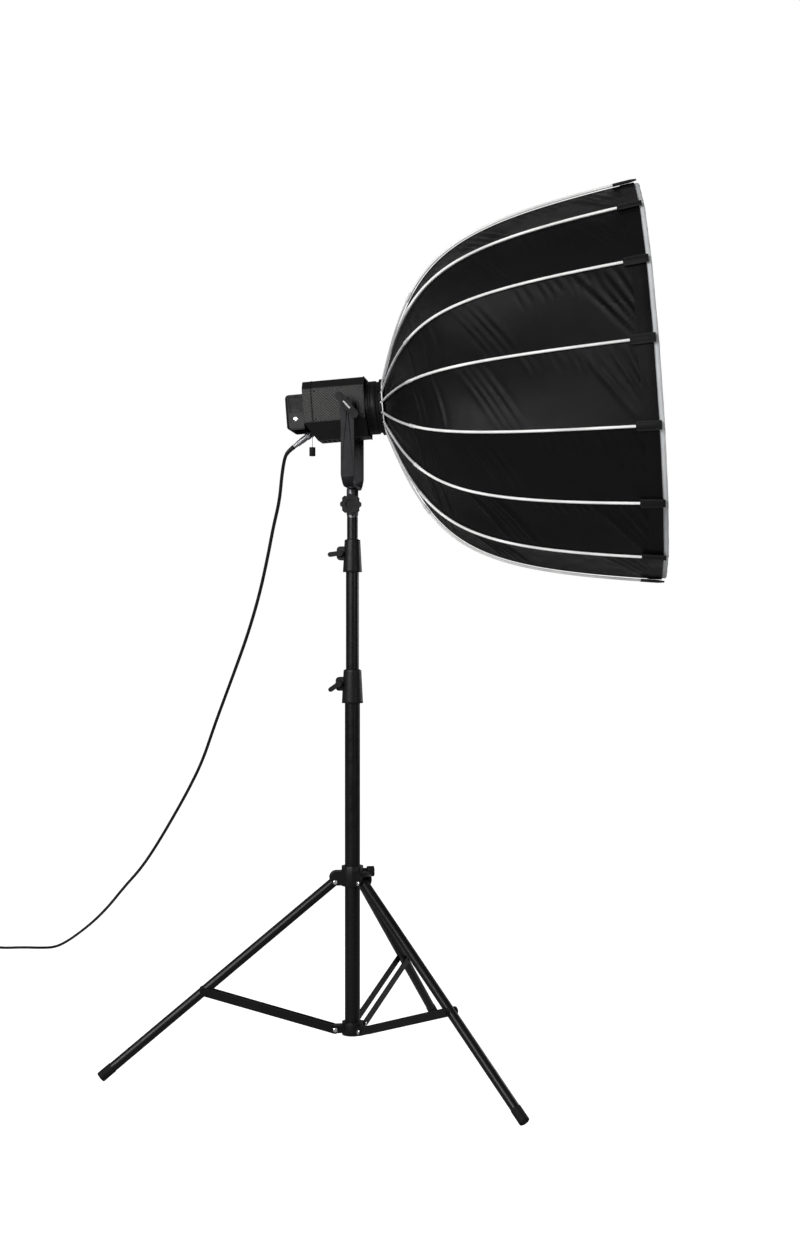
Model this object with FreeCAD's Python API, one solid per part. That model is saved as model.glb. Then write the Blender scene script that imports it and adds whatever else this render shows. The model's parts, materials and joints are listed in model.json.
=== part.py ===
import FreeCAD, Part
import math
import os

# Deep parabolic softbox with sixteen ribs on a lamp head, a yoke and a three-section tripod stand.
# Millimetres, +Z up, +X the way the softbox points (seen from above). The model is built round the
# mast's axis and moved at the end so that its origin is the bottom centre of its own box.

V = FreeCAD.Vector
ORIGIN = V(0, 0, 0)
X, Y, Z = V(1, 0, 0), V(0, 1, 0), V(0, 0, 1)

RUNNING = 0.05          # radial clearance of a pin or shaft that turns or slides in its hole
GAP = 0.3               # gap between faces of two bodies that pass each other

# mast: three tubes, one inside another
COLUMN_R, MID_R, TOP_R, TUBE_WALL = 17.5, 15.0, 12.5, 1.5
COLUMN_Z = (85.0, 905.0)
MID_Z = (380.0, 1205.0)
TOP_Z = (446.0, 1270.0)
LOWER_COLLAR_Z = (844.0, 920.0)
UPPER_COLLAR_Z = (1145.0, 1219.0)
COLLAR_FLARE, COLLAR_WALL, COLLAR_LIP = 2.5, 4.5, 14.0
CLAMP_BOLT_R, WING_LENGTH, BOLT_ABOVE_MIDDLE = 3.0, 22.0, 6.0

# tripod: legs hang on a sliding hub, braces stand on a fixed spider
LEG_AZIMUTHS = (195.6, 315.6, 75.6)
PIVOT_R, HUB_Z, SPIDER_Z = 42.0, 435.0, 97.0
LEG_ANGLE, LEG_ANGLE_FOLDED = 51.1, 3.0         # from the vertical
LEG_R, LEG_TUBE_END, BRACE_AT = 11.0, 660.0, 383.8
FOOT_R, FOOT_RIM, FOOT_COVER = 12.0, 2.5, 15.0
RIVET_R, RIVET_HEAD_R, RIVET_HEAD = 3.0, 5.0, 2.5
BAR_WIDTH, BAR_THICK, BAR_GAP = 19.0, 3.0, 0.4
EAR_THICK, EAR_GAP = 4.0, 0.6

# yoke and its receiver
TILT_Z, TILT_UP = 1518.0, 4.31                  # height of the tilt axis and the lamp's tilt, degrees
RECEIVER_Z, RECEIVER_R, STUD_R = (1276.0, 1337.0), 13.5, 8.0
KNOB_Z, KNOB_R, KNOB_LOBES = 1299.0, 23.5, 8
YOKE_WIDTH, YOKE_THICK, YOKE_INSIDE, YOKE_CORNER = 31.0, 5.0, 82.5, 22.0
PIVOT_BOLT_R = 5.0

# lamp head, along its own axis from the tilt axis
HOUSING_X = (-105.0, 37.0)
HOUSING_HALF_WIDTH, HOUSING_TOP, HOUSING_BOTTOM = 62.0, 67.5, -67.5
SIDE_TOP, SIDE_BOTTOM, TOP_HALF, BOTTOM_HALF = 49.5, -28.5, 44.0, 38.0
SHELL, COVER_X = 2.5, -84.5
CUT_CORNER = ((-105.0, -28.0), (-80.0, -67.5))  # rear bottom corner cut off between these (x, z)
BOSS_R, BOSS_END = 17.0, 82.0
RING_X, RING_R, RING_BORE = (37.0, 68.0), 61.0, 40.0
HANDLE_X, HANDLE_HALF_HEIGHT, HANDLE_Y, PLATE = (-148.0, -106.0), 40.0, 45.0, 5.0
HANDLE_CORNER = 10.0                            # round of the handle's rear corners, seen from the side
HANDLE_SCREW = (-124.4, -16.0)
SOCKET_AT, SOCKET_R, SOCKET_LENGTH = -43.5, 9.0, 9.0
PLUG_R, PLUG_LENGTH = 6.5, 46.0
FAN_X, FAN_HALF, FAN_BORE = (-84.0, -60.0), 48.0, 44.0
SINK_X, SINK_HALF, FINS = (-56.0, 30.0), 42.0, 9

# softbox: the rib's centreline is one Bezier curve in the plane (along the axis, out from the axis)
RIBS, FIRST_RIB_PHASE = 16, 4.35
RIB_CURVE = ((74.0, 56.0), (167.7, 339.2), (239.5, 389.2), (671.0, 450.0))
RIB_FOLD = 32.0
ROD_R, ARM_HALF, ARM_SHARE, POCKET_SHARE = 3.0, 2.5, 0.27, 0.963
POCKET_WIDTH, POCKET_THICK, POCKET_OVERHANG = 22.0, 7.0, 6.0
SKIN_OFFSET, SKIN_THICK = 5.0, 1.0
SPEED_RING_X, SPEED_RING_R, RIB_SLOT, RIB_PIN_R = (68.3, 77.5), (38.0, 64.0), 5.6, 1.5
DIFFUSER_X, DIFFUSER_R = (672.5, 683.0), 445.0

# power cable and the small cord of the socket's cap
CABLE_R = 4.0
LANYARD_R, LANYARD_LENGTH, LANYARD_DROP, CAP_R, CAP_LENGTH = 0.6, 34.0, 1.5, 7.0, 20.0
LANYARD_AT = (-95.0, -11.0)                     # x and y in the lamp's frame
COIL_CENTRE = (-1352.0, 1290.0)
COIL_TURN_RADII = (40.0, 48.0)                  # two turns side by side
COIL_LAYERS, END_PLUG_AHEAD = 3, 12.0
CABLE_ROUTE = [                                 # from below the plug to the coil
    (-159, 7, 1411), (-168, 21, 1372), (-177, 41, 1313), (-197, 69, 1252), (-216, 98, 1180),
    (-243, 136, 1092), (-279, 184, 1002), (-317, 236, 924), (-355, 290, 850), (-398, 349, 765),
    (-440, 407, 674), (-495, 482, 590), (-560, 573, 503), (-622, 658, 423), (-688, 748, 346),
    (-766, 857, 275), (-838, 956, 203), (-908, 1053, 143), (-981, 1153, 89), (-1052, 1247, 41),
    (-1107, 1305, 12), (-1162, 1333, 4), (-1219, 1336, 4), (-1279, 1318, 4),
]


def rod(start, end, radius):
    axis = end - start
    return Part.makeCylinder(radius, axis.Length, start, axis)


def pipe(start, end, outer, inner):
    return rod(start, end, outer).cut(rod(start, end, inner))


def block(x, y, z):
    """A box between two limits on each axis."""
    return Part.makeBox(x[1] - x[0], y[1] - y[0], z[1] - z[0], V(x[0], y[0], z[0]))


def prism(points, along):
    """A polygon, as a list of points, pushed along a vector."""
    return Part.Face(Part.makePolygon(points + points[:1])).extrude(along)


def stadium(start, end, radius, thick, y):
    """A flat bar with round ends between two points of a plane of constant y, from y to y + thick."""
    along = (end - start).normalize()
    side = V(-along.z, 0, along.x) * radius
    a, b, c, d = start + side, end + side, end - side, start - side
    edges = [
        Part.LineSegment(a, b).toShape(),
        Part.Arc(b, end + along * radius, c).toShape(),
        Part.LineSegment(c, d).toShape(),
        Part.Arc(d, start - along * radius, a).toShape(),
    ]
    face = Part.Face(Part.Wire(edges))
    face.translate(Y * y)
    return face.extrude(Y * thick)


def turned(profile, base, direction):
    """A closed profile of edges in the XZ plane, revolved round Z and stood on base along direction."""
    solid = Part.Face(Part.Wire(profile)).revolve(ORIGIN, Z, 360)
    solid.Placement = FreeCAD.Placement(base, FreeCAD.Rotation(Z, direction))
    return solid


def outline(points):
    """Straight edges through points given as (radius, height)."""
    corners = [V(r, 0, h) for r, h in points]
    return [Part.LineSegment(a, b).toShape() for a, b in zip(corners, corners[1:])]


def about_mast(shape, azimuth):
    copy = shape.copy()
    copy.rotate(ORIGIN, Z, azimuth)
    return copy


def about_lamp(shape, phase):
    """Turns a shape drawn in the XZ plane to a rib's phase: 0 is the -Y side and 90 is the top."""
    copy = shape.copy()
    copy.rotate(ORIGIN, X, 90 - phase)
    return copy


def on_tilt_axis(shape):
    """Moves a shape from the lamp's own frame to its place on the yoke."""
    shape.rotate(ORIGIN, Y, -TILT_UP)
    shape.translate(Z * TILT_Z)
    return shape


def lamp_point(x, y, z):
    return on_tilt_axis(Part.Vertex(V(x, y, z))).Point


# ---- tripod ----------------------------------------------------------------

HUB_PIVOT = V(PIVOT_R, 0, HUB_Z)
SPIDER_PIVOT = V(PIVOT_R, 0, SPIDER_Z)


def slope(angle):
    """Unit vector that points outward and down at an angle from the vertical."""
    return V(math.sin(math.radians(angle)), 0, -math.cos(math.radians(angle)))


LEG_LINE = slope(LEG_ANGLE)
BRACE_END = HUB_PIVOT + LEG_LINE * BRACE_AT
BRACE_LENGTH = (BRACE_END - SPIDER_PIVOT).Length
BRACE_ANGLE = math.degrees(math.atan2(BRACE_END.z - SPIDER_Z, BRACE_END.x - PIVOT_R))
FOLDED_BRACE_ANGLE = math.degrees(
    math.acos(BRACE_AT * math.sin(math.radians(LEG_ANGLE_FOLDED)) / BRACE_LENGTH)
)
HUB_TRAVEL = (
    SPIDER_Z
    + BRACE_LENGTH * math.sin(math.radians(FOLDED_BRACE_ANGLE))
    + BRACE_AT * math.cos(math.radians(LEG_ANGLE_FOLDED))
    - HUB_Z
)


def rivet(centre, reach):
    """A pin along Y through a clevis, with a head at each end beyond reach."""
    pin = rod(centre - Y * reach, centre + Y * reach, RIVET_R)
    for side in (-1, 1):
        head = rod(centre + Y * side * reach, centre + Y * side * (reach + RIVET_HEAD), RIVET_HEAD_R)
        pin = pin.fuse(head)
    return pin


def make_leg():
    """A tube that is solid near its round top end, which has the pivot's hole."""
    solid_end, wall_r = 30.0, LEG_R - TUBE_WALL
    corner = math.sqrt(0.5) * LEG_R
    dome = Part.Arc(V(0, 0, -LEG_R), V(corner, 0, -corner), V(LEG_R, 0, 0))
    sides = outline([
        (LEG_R, 0), (LEG_R, LEG_TUBE_END), (wall_r, LEG_TUBE_END),
        (wall_r, solid_end), (0, solid_end), (0, -LEG_R),
    ])
    leg = turned([dome.toShape()] + sides, HUB_PIVOT, LEG_LINE)
    return leg.cut(rod(HUB_PIVOT - Y * 20, HUB_PIVOT + Y * 20, RIVET_R + RUNNING))


def make_foot():
    """A cap on the leg's end, cut square, whose rounded rim has a small flat where it stands."""
    lean, sink = math.radians(LEG_ANGLE), 0.5
    rim = (HUB_Z - (FOOT_R - FOOT_RIM) * math.sin(lean) - FOOT_RIM + sink) / math.cos(lean)
    tip, corner, top = rim + FOOT_RIM, math.sqrt(0.5) * FOOT_RIM, LEG_TUBE_END - FOOT_COVER
    centre_r = FOOT_R - FOOT_RIM
    bead = Part.Arc(V(FOOT_R, 0, rim), V(centre_r + corner, 0, rim + corner), V(centre_r, 0, tip))
    sides = outline([
        (centre_r, tip), (0, tip), (0, LEG_TUBE_END), (LEG_R, LEG_TUBE_END),
        (LEG_R, top), (FOOT_R, top), (FOOT_R, rim),
    ])
    foot = turned([bead.toShape()] + sides, HUB_PIVOT, LEG_LINE)
    return foot.cut(block((400, 700), (-50, 50), (-50, 0)))


def make_brace():
    """Two flat bars, one each side of the leg, with a rivet head on each where they meet the leg."""
    solids = []
    for side in (-1, 1):
        near = side * (LEG_R + BAR_GAP)
        low = min(near, near + side * BAR_THICK)
        bar = stadium(SPIDER_PIVOT, BRACE_END, BAR_WIDTH / 2, BAR_THICK, low)
        hole = rod(SPIDER_PIVOT - Y * 20, SPIDER_PIVOT + Y * 20, RIVET_R + RUNNING)
        face = BRACE_END + Y * (near + side * BAR_THICK)
        solids += [bar.cut(hole), rod(face, face + Y * side * RIVET_HEAD, RIVET_HEAD_R)]
    return Part.Compound(solids)


def make_leg_hub():
    """A sleeve that slides on the column, with a covered clevis and a rivet for each leg."""
    ear_inside = LEG_R + EAR_GAP
    ear_outside = ear_inside + EAR_THICK
    bore = rod(V(0, 0, 400), V(0, 0, 500), COLUMN_R + 2 * RUNNING)
    hub = rod(V(0, 0, 424), V(0, 0, 470), 25.0)
    pins = []
    for azimuth in LEG_AZIMUTHS:
        clevis = stadium(V(14, 0, 443), V(PIVOT_R - 6, 0, 443), 16.0, 2 * ear_outside, -ear_outside)
        slot = block((29, 70), (-ear_inside, ear_inside), (400, 449))
        hub = hub.fuse(about_mast(clevis, azimuth)).cut(about_mast(slot, azimuth))
        pins.append(about_mast(rivet(HUB_PIVOT, ear_outside), azimuth))
    hub = hub.cut(bore)
    screw_azimuth = LEG_AZIMUTHS[0] + 180
    boss = rod(V(20, 0, 456), V(33, 0, 456), 8.0)
    thread = rod(V(10, 0, 456), V(40, 0, 456), RIVET_R + RUNNING)
    hub = hub.fuse(about_mast(boss, screw_azimuth)).cut(about_mast(thread, screw_azimuth)).cut(bore)
    for pin in pins:
        hub = hub.cut(pin)
    return Part.Compound([hub] + pins)


def make_hub_lock_knob():
    """Round screw knob between two legs that clamps the hub to the column."""
    knob = rod(V(34, 0, 456), V(50, 0, 456), 12.0)
    for n in range(6):
        angle = math.radians(60 * n)
        groove = V(33, 13.5 * math.cos(angle), 456 + 13.5 * math.sin(angle))
        knob = knob.cut(rod(groove, groove + X * 18, 3.5))
    knob = knob.fuse(rod(V(COLUMN_R + GAP, 0, 456), V(34, 0, 456), RIVET_R))
    return about_mast(knob, LEG_AZIMUTHS[0] + 180)


def make_leg_spider():
    """The fixed casting at the column's foot, with a lobe and a rivet for each pair of brace bars."""
    spider = rod(V(0, 0, 82), V(0, 0, 112), 24.0)
    pins = []
    for azimuth in LEG_AZIMUTHS:
        lobe = stadium(V(10, 0, SPIDER_Z), SPIDER_PIVOT, 9.0, 2 * LEG_R, -LEG_R)
        spider = spider.fuse(about_mast(lobe, azimuth))
        pins.append(about_mast(rivet(SPIDER_PIVOT, LEG_R + BAR_GAP + BAR_THICK + GAP), azimuth))
    spider = spider.cut(rod(V(0, 0, COLUMN_Z[0]), V(0, 0, 150), COLUMN_R))
    for pin in pins:
        spider = spider.cut(pin)
    return Part.Compound([spider] + pins)


# ---- mast ------------------------------------------------------------------


def clamp_axis(grip_r):
    """Distance of a collar's clamp bolt from the mast's axis, on the -X side."""
    return -(grip_r + COLLAR_WALL + CLAMP_BOLT_R + 5.0)


def make_collar(limits, grip_r, slide_r):
    """A split clamp collar fixed on one tube, with a lip that guides the next tube."""
    low, high = limits
    lip = high - COLLAR_LIP
    top_r = grip_r + COLLAR_WALL - 1.5
    wall = Part.makeCone(grip_r + COLLAR_WALL + COLLAR_FLARE, top_r, high - low, V(0, 0, low), Z)
    middle = (low + high) / 2 + BOLT_ABOVE_MIDDLE
    bolt_x = clamp_axis(grip_r)
    ears = stadium(V(bolt_x, 0, middle - 8), V(bolt_x, 0, middle + 8), 8.0, 16.0, -8.0)
    web = block((bolt_x, -grip_r), (-8, 8), (middle - 16, middle + 16))
    collar = wall.fuse([ears, web]).cut(block((-60, 0), (-1, 1), (low - 1, high + 1)))
    collar = collar.cut(rod(V(0, 0, low - 1), V(0, 0, lip), grip_r))
    collar = collar.cut(rod(V(0, 0, lip), V(0, 0, high + 1), slide_r + 2 * RUNNING))
    bolt = V(bolt_x, 0, middle)
    return collar.cut(rod(bolt - Y * 30, bolt + Y * 30, CLAMP_BOLT_R + RUNNING))


def make_wing_lever(limits, grip_r, droop):
    """The clamp bolt with its wing, which points away from the mast and down by droop degrees."""
    centre = V(clamp_axis(grip_r), 0, sum(limits) / 2 + BOLT_ABOVE_MIDDLE)
    bolt = rod(centre - Y * 9, centre + Y * 8, CLAMP_BOLT_R)
    nut = rod(centre + Y * 8.3, centre + Y * 12, 5.0)
    hub = rod(centre - Y * 8.3, centre - Y * 20, 7.5)
    out = V(-math.cos(math.radians(droop)), 0, -math.sin(math.radians(droop)))
    wing = stadium(centre, centre + out * WING_LENGTH, 5.5, 6.0, -19.5)
    return bolt.fuse([rod(centre + Y * 8, centre + Y * 8.3, CLAMP_BOLT_R), nut, hub, wing])


def make_top_spigot():
    """Plug, flange and stud on top of the mast, which the yoke's receiver turns on."""
    flange_z = RECEIVER_Z[0] - GAP
    spigot = rod(V(0, 0, TOP_Z[1] - 30), V(0, 0, TOP_Z[1]), TOP_R - TUBE_WALL)
    flange = rod(V(0, 0, TOP_Z[1]), V(0, 0, flange_z), TOP_R)
    stud = rod(V(0, 0, flange_z), V(0, 0, RECEIVER_Z[1] - 7), STUD_R)
    return spigot.fuse([flange, stud])


# ---- yoke ------------------------------------------------------------------


def round_bottomed(half_width, bottom, radius, top):
    """A face in the YZ plane with two straight sides and two round bottom corners."""
    inset = radius * (1 - math.sqrt(0.5))
    edges = []
    for side in (-1, 1):
        wall = V(0, side * half_width, bottom + radius)
        foot = V(0, side * (half_width - radius), bottom)
        middle = V(0, side * (half_width - inset), bottom + inset)
        edges.append(Part.Arc(wall, middle, foot).toShape())
        edges.append(Part.LineSegment(V(0, side * half_width, top), wall).toShape())
    for reach, height in ((half_width - radius, bottom), (half_width, top)):
        edges.append(Part.LineSegment(V(0, -reach, height), V(0, reach, height)).toShape())
    return Part.Face(Part.Wire(Part.__sortEdges__(edges)))


def make_yoke():
    """A flat bar bent to a U, with round ends at the tilt axis and a narrower foot."""
    top, half = TILT_Z + YOKE_WIDTH / 2, YOKE_WIDTH / 2
    bottom = RECEIVER_Z[1]
    outside = round_bottomed(YOKE_INSIDE + YOKE_THICK, bottom, YOKE_CORNER, top)
    inside = round_bottomed(YOKE_INSIDE, bottom + YOKE_THICK + 1, YOKE_CORNER - YOKE_THICK, top + 1)
    band = outside.extrude(X * YOKE_WIDTH).cut(inside.extrude(X * YOKE_WIDTH))
    band.translate(X * -half)
    foot_half, taper = 11.0, 26.0
    side = prism([
        V(-foot_half, -100, bottom), V(foot_half, -100, bottom), V(half, -100, bottom + taper),
        V(half, -100, TILT_Z), V(-half, -100, TILT_Z), V(-half, -100, bottom + taper),
    ], Y * 200)
    side = side.fuse(rod(V(0, -100, TILT_Z), V(0, 100, TILT_Z), half))
    return band.common(side).cut(rod(V(0, -100, TILT_Z), V(0, 100, TILT_Z), PIVOT_BOLT_R + RUNNING))


def make_receiver():
    """The socket that sits on the mast's stud, with a threaded boss for its knob."""
    low, high = RECEIVER_Z
    body = rod(V(0, 0, low), V(0, 0, high), RECEIVER_R)
    body = body.fuse(rod(V(0, -5, KNOB_Z), V(0, -19.5, KNOB_Z), 9.0))
    body = body.cut(rod(V(0, 0, low - 1), V(0, 0, high - 6), STUD_R + RUNNING))
    return body.cut(rod(V(0, 0, KNOB_Z), V(0, -30, KNOB_Z), 4.0 + RUNNING))


def make_receiver_knob():
    """A lobed hand knob whose screw clamps the stud."""
    face_y, back_y = -39.0, -20.0
    knob = rod(V(0, back_y, KNOB_Z), V(0, face_y, KNOB_Z), KNOB_R)
    for n in range(KNOB_LOBES):
        angle = 2 * math.pi * (n + 0.5) / KNOB_LOBES
        groove = V(26.5 * math.cos(angle), 0, KNOB_Z + 26.5 * math.sin(angle))
        knob = knob.cut(rod(groove - Y * 10, groove - Y * 50, 6.0))
    knob = knob.cut(rod(V(0, face_y, KNOB_Z), V(0, face_y + 3, KNOB_Z), 11.0))
    return knob.fuse(rod(V(0, -STUD_R - GAP, KNOB_Z), V(0, back_y, KNOB_Z), 4.0))


def make_tilt_lever():
    """A lever on the near arm whose screw clamps the lamp's boss."""
    axis, outer = V(0, 0, TILT_Z), YOKE_INSIDE + YOKE_THICK + GAP
    lean = math.radians(-50)
    along = V(math.cos(lean), 0, math.sin(lean))
    hub = rod(axis - Y * outer, axis - Y * (outer + 14), 13.0)
    handle = stadium(axis - along * 26, axis + along * 28, 9.0, 9.0, -(outer + 17))
    screw = rod(axis - Y * (BOSS_END - 18), axis - Y * outer, PIVOT_BOLT_R)
    return hub.fuse([handle, screw])


def make_pivot_bolt():
    """The plain bolt through the far arm, with a domed hexagon head."""
    axis, outer = V(0, 0, TILT_Z), YOKE_INSIDE + YOKE_THICK
    angles = [math.radians(60 * n) for n in range(6)]
    head = prism([V(10 * math.cos(a), outer, TILT_Z + 10 * math.sin(a)) for a in angles], Y * 7)
    return head.fuse(rod(axis + Y * (BOSS_END - 18), axis + Y * outer, PIVOT_BOLT_R))


# ---- lamp head, drawn in its own frame --------------------------------------


def housing_section(inset, x):
    """The eight-sided section of the housing at x, drawn in by inset."""
    half, top, bottom = HOUSING_HALF_WIDTH - inset, HOUSING_TOP - inset, HOUSING_BOTTOM + inset
    ease = inset * 0.45
    right = [
        (BOTTOM_HALF - ease, bottom), (half, SIDE_BOTTOM + ease),
        (half, SIDE_TOP - ease), (TOP_HALF - ease, top),
    ]
    left = [(-y, z) for y, z in reversed(right)]
    return [V(x, y, z) for y, z in right + left]


def corner_wedge(inset):
    """What is cut from the rear bottom corner, moved into the housing by inset."""
    (x1, z1), (x2, z2) = CUT_CORNER
    far_x = 60.0
    far_z = far_x * (z1 - z2) / (x2 - x1)
    top, bottom = z1 + far_z, z2 - far_z
    wedge = prism([V(x1 - far_x, -90, top), V(x2 + far_x, -90, bottom), V(x1 - far_x, -90, bottom)], Y * 180)
    wedge.translate(cut_normal() * -inset)
    return wedge


def cut_normal():
    """Outward normal of the cut rear corner, which the power socket points along."""
    (x1, z1), (x2, z2) = CUT_CORNER
    return V(z2 - z1, 0, x1 - x2).normalize()


def make_housing_shell():
    """The closed shell that is split into the housing and the rear cover, with the tilt bosses."""
    length = HOUSING_X[1] - HOUSING_X[0]
    outer = prism(housing_section(0, HOUSING_X[0]), X * length)
    long_edges = [e for e in outer.Edges if abs(e.BoundBox.XLength - length) < 0.1]
    outer = outer.makeFillet(3.0, long_edges).cut(corner_wedge(0))
    inner = prism(housing_section(SHELL, HOUSING_X[0] + SHELL), X * (length + 5))
    shell = outer.cut(inner.cut(corner_wedge(SHELL)))
    for side in (-1, 1):
        wall = Y * side * (HOUSING_HALF_WIDTH - SHELL)
        boss = rod(wall, Y * side * BOSS_END, BOSS_R)
        rim = rod(wall, Y * side * (HOUSING_HALF_WIDTH + 4), BOSS_R + 6)
        bore = rod(Y * side * (BOSS_END - 19), Y * side * (BOSS_END + 1), PIVOT_BOLT_R + RUNNING)
        shell = shell.fuse([boss, rim]).cut(bore)
    return shell


def make_housing(shell):
    """The front part of the shell, with cooling slots in its top and bottom."""
    housing = shell.cut(block((-200, COVER_X), (-100, 100), (-100, 100)))
    for n in range(8):
        x = -70.0 + 11 * n
        for z in (HOUSING_TOP, HOUSING_BOTTOM):
            housing = housing.cut(block((x, x + 4), (-26, 26), (z - 8, z + 8)))
    return housing


def make_rear_cover(shell):
    """The back of the shell, with a grille, two lugs for the handle and the power socket."""
    cover = shell.common(block((-200, COVER_X), (-100, 100), (-100, 100)))
    for n in range(5):
        z = -8.0 - 5 * n
        cover = cover.cut(block((-110, -98), (-30, 30), (z, z + 2.5)))
    cover = cover.cut(rod(V(-115, 0, 24), V(-95, 0, 24), 4.0 + RUNNING))
    for side in (-1, 1):
        low = min(side * (HANDLE_Y - GAP), side * (HANDLE_Y - 7))
        lug = stadium(V(-100, 0, -16), V(HANDLE_SCREW[0], 0, HANDLE_SCREW[1]), 9.0, 7 - GAP, low)
        cover = cover.fuse(lug.cut(block((-103.5, -80), (-60, 60), (-60, 60))))
    base, out = socket_base(), cut_normal()
    barrel = rod(base - out * SHELL, base + out * SOCKET_LENGTH, SOCKET_R)
    return cover.fuse(barrel)


def socket_base():
    """Where the socket's axis leaves the cut corner."""
    (x1, z1), (x2, z2) = CUT_CORNER
    return V(x1 + (x2 - x1) * (SOCKET_AT - z1) / (z2 - z1), 0, SOCKET_AT)


def make_mount_ring():
    """The front ring that takes the softbox, stepped down at its front."""
    low, high = RING_X
    step = high - 8
    ring = rod(X * low, X * step, RING_R).fuse(rod(X * step, X * high, RING_R - 2.5))
    for x in (low + 6, low + 11):
        ring = ring.cut(pipe(V(x, 0, 0), V(x + 1.5, 0, 0), RING_R + 2, RING_R - 1))
    return ring.cut(rod(V(low - 1, 0, 0), V(high + 1, 0, 0), RING_BORE))


def make_mount_latch():
    """A ribbed slide on the ring's far upper side that frees the softbox."""
    latch = block((43, 59), (-7, 7), (RING_R + GAP, RING_R + 5.5))
    for n in range(3):
        latch = latch.cut(block((46 + 4 * n, 48 + 4 * n), (-8, 8), (RING_R + 4, RING_R + 8)))
    return about_lamp(latch, 135)


def make_heat_sink():
    base = block((SINK_X[1] - 8, SINK_X[1]), (-SINK_HALF, SINK_HALF), (-SINK_HALF, SINK_HALF))
    pitch = 2 * (SINK_HALF - 1) / (FINS - 1)
    fins = [
        block((SINK_X[0], SINK_X[1] - 8), (y - 1, y + 1), (-SINK_HALF, SINK_HALF))
        for y in (-SINK_HALF + 1 + pitch * n for n in range(FINS))
    ]
    return base.fuse(fins)


def make_fan_frame():
    """A square frame with a round duct, and three arms that carry the rotor's pin."""
    low, high = FAN_X
    frame = block(FAN_X, (-FAN_HALF, FAN_HALF), (-FAN_HALF, FAN_HALF))
    trim = block((low - 1, high + 1), (-58, 58), (-58, 58))
    trim.rotate(ORIGIN, X, 45)
    frame = frame.common(trim).cut(rod(V(low - 1, 0, 0), V(high + 1, 0, 0), FAN_BORE))
    frame = frame.fuse(rod(V(low, 0, 0), V(low + 3, 0, 0), 12.0))
    for n in range(3):
        arm = block((low, low + 3), (-2.5, 2.5), (0, FAN_BORE + 1))
        arm.rotate(ORIGIN, X, 120 * n)
        frame = frame.fuse(arm)
    return frame.fuse(rod(V(low + 3, 0, 0), V(high - 4, 0, 0), RIVET_R))


def make_fan_rotor():
    """A hub with seven slanted blades that turns on the frame's pin."""
    low, high = FAN_X[0] + 4, FAN_X[1] - 1
    rotor = rod(V(low, 0, 0), V(high, 0, 0), 15.0)
    middle = (low + high) / 2
    for n in range(7):
        blade = block((middle - 8, middle + 8), (-0.9, 0.9), (13, 41))
        blade.rotate(V(middle, 0, 0), Z, 40)
        blade.rotate(ORIGIN, X, 360 * n / 7)
        rotor = rotor.fuse(blade)
    return rotor.cut(rod(V(low - 1, 0, 0), V(high - 2.5, 0, 0), RIVET_R + RUNNING))


def make_led_module():
    """The round light-source board with its domed window, in front of the heat sink."""
    board = rod(V(SINK_X[1], 0, 0), V(SINK_X[1] + 4, 0, 0), 38.0)
    return board.fuse(rod(V(SINK_X[1] + 4, 0, 0), V(SINK_X[1] + 7, 0, 0), 16.0))


def make_handle():
    """A wide band bent round the back, with a hollow in each side and a screw through each side."""
    rear, front = HANDLE_X
    outside, inside = HANDLE_Y + PLATE, HANDLE_Y
    band = block((rear, front), (-outside, outside), (-HANDLE_HALF_HEIGHT, HANDLE_HALF_HEIGHT))
    upright = [e for e in band.Edges if e.BoundBox.ZLength > 70 and e.BoundBox.XMax < rear + 1]
    band = band.makeFillet(9.0, upright)
    band = band.cut(block((rear + 7, front + 1), (-inside, inside), (-50, 50)))
    side_view = block(HANDLE_X, (-outside - 1, outside + 1), (-HANDLE_HALF_HEIGHT, HANDLE_HALF_HEIGHT))
    across = [e for e in side_view.Edges if e.BoundBox.YLength > 80 and e.BoundBox.XMax < rear + 1]
    band = band.common(side_view.makeFillet(HANDLE_CORNER, across))
    solids = []
    for side in (-1, 1):
        hollow_y = sorted((side * (outside - 2), side * (outside + 5)))
        band = band.cut(block((rear + 9, front + 1), hollow_y, (2, HANDLE_HALF_HEIGHT - 6)))
        head = V(HANDLE_SCREW[0], side * outside, HANDLE_SCREW[1])
        shank = V(HANDLE_SCREW[0], side * (inside - GAP), HANDLE_SCREW[1])
        band = band.cut(rod(shank, head + Y * side, 3.0))
        solids.append(rod(shank, head, 3.0).fuse(rod(head, head + Y * side * 2.5, 6.0)))
    return Part.Compound([band] + solids)


def make_dial():
    """The brightness dial between the handle's sides."""
    dial = rod(V(-105.3, 0, 24), V(-117, 0, 24), 11.0)
    for n in range(18):
        angle = math.radians(20 * n)
        groove = V(-104, 11.4 * math.cos(angle), 24 + 11.4 * math.sin(angle))
        dial = dial.cut(rod(groove, groove - X * 20, 0.9))
    return dial.fuse(rod(V(-96, 0, 24), V(-105.3, 0, 24), 4.0))


def plug_end():
    """Where the cable leaves its plug, in the lamp's frame."""
    return socket_base() + cut_normal() * (SOCKET_LENGTH + PLUG_LENGTH)


def make_plug(start, along):
    """A round metal connector: a knurled nut, a barrel and a tapered strain relief."""
    steps = [(0, 10, PLUG_R + 1.5), (10, 12, PLUG_R), (12, 26, PLUG_R + 0.5), (26, 36, PLUG_R - 0.5)]
    solid = rod(start, start + along * 2, PLUG_R)
    for low, high, radius in steps:
        solid = solid.fuse(rod(start + along * low, start + along * high, radius))
    relief = Part.makeCone(PLUG_R - 1, CABLE_R + 0.8, PLUG_LENGTH - 36, start + along * 36, along)
    return solid.fuse(relief)


# ---- softbox, drawn in the lamp's frame -------------------------------------


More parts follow.
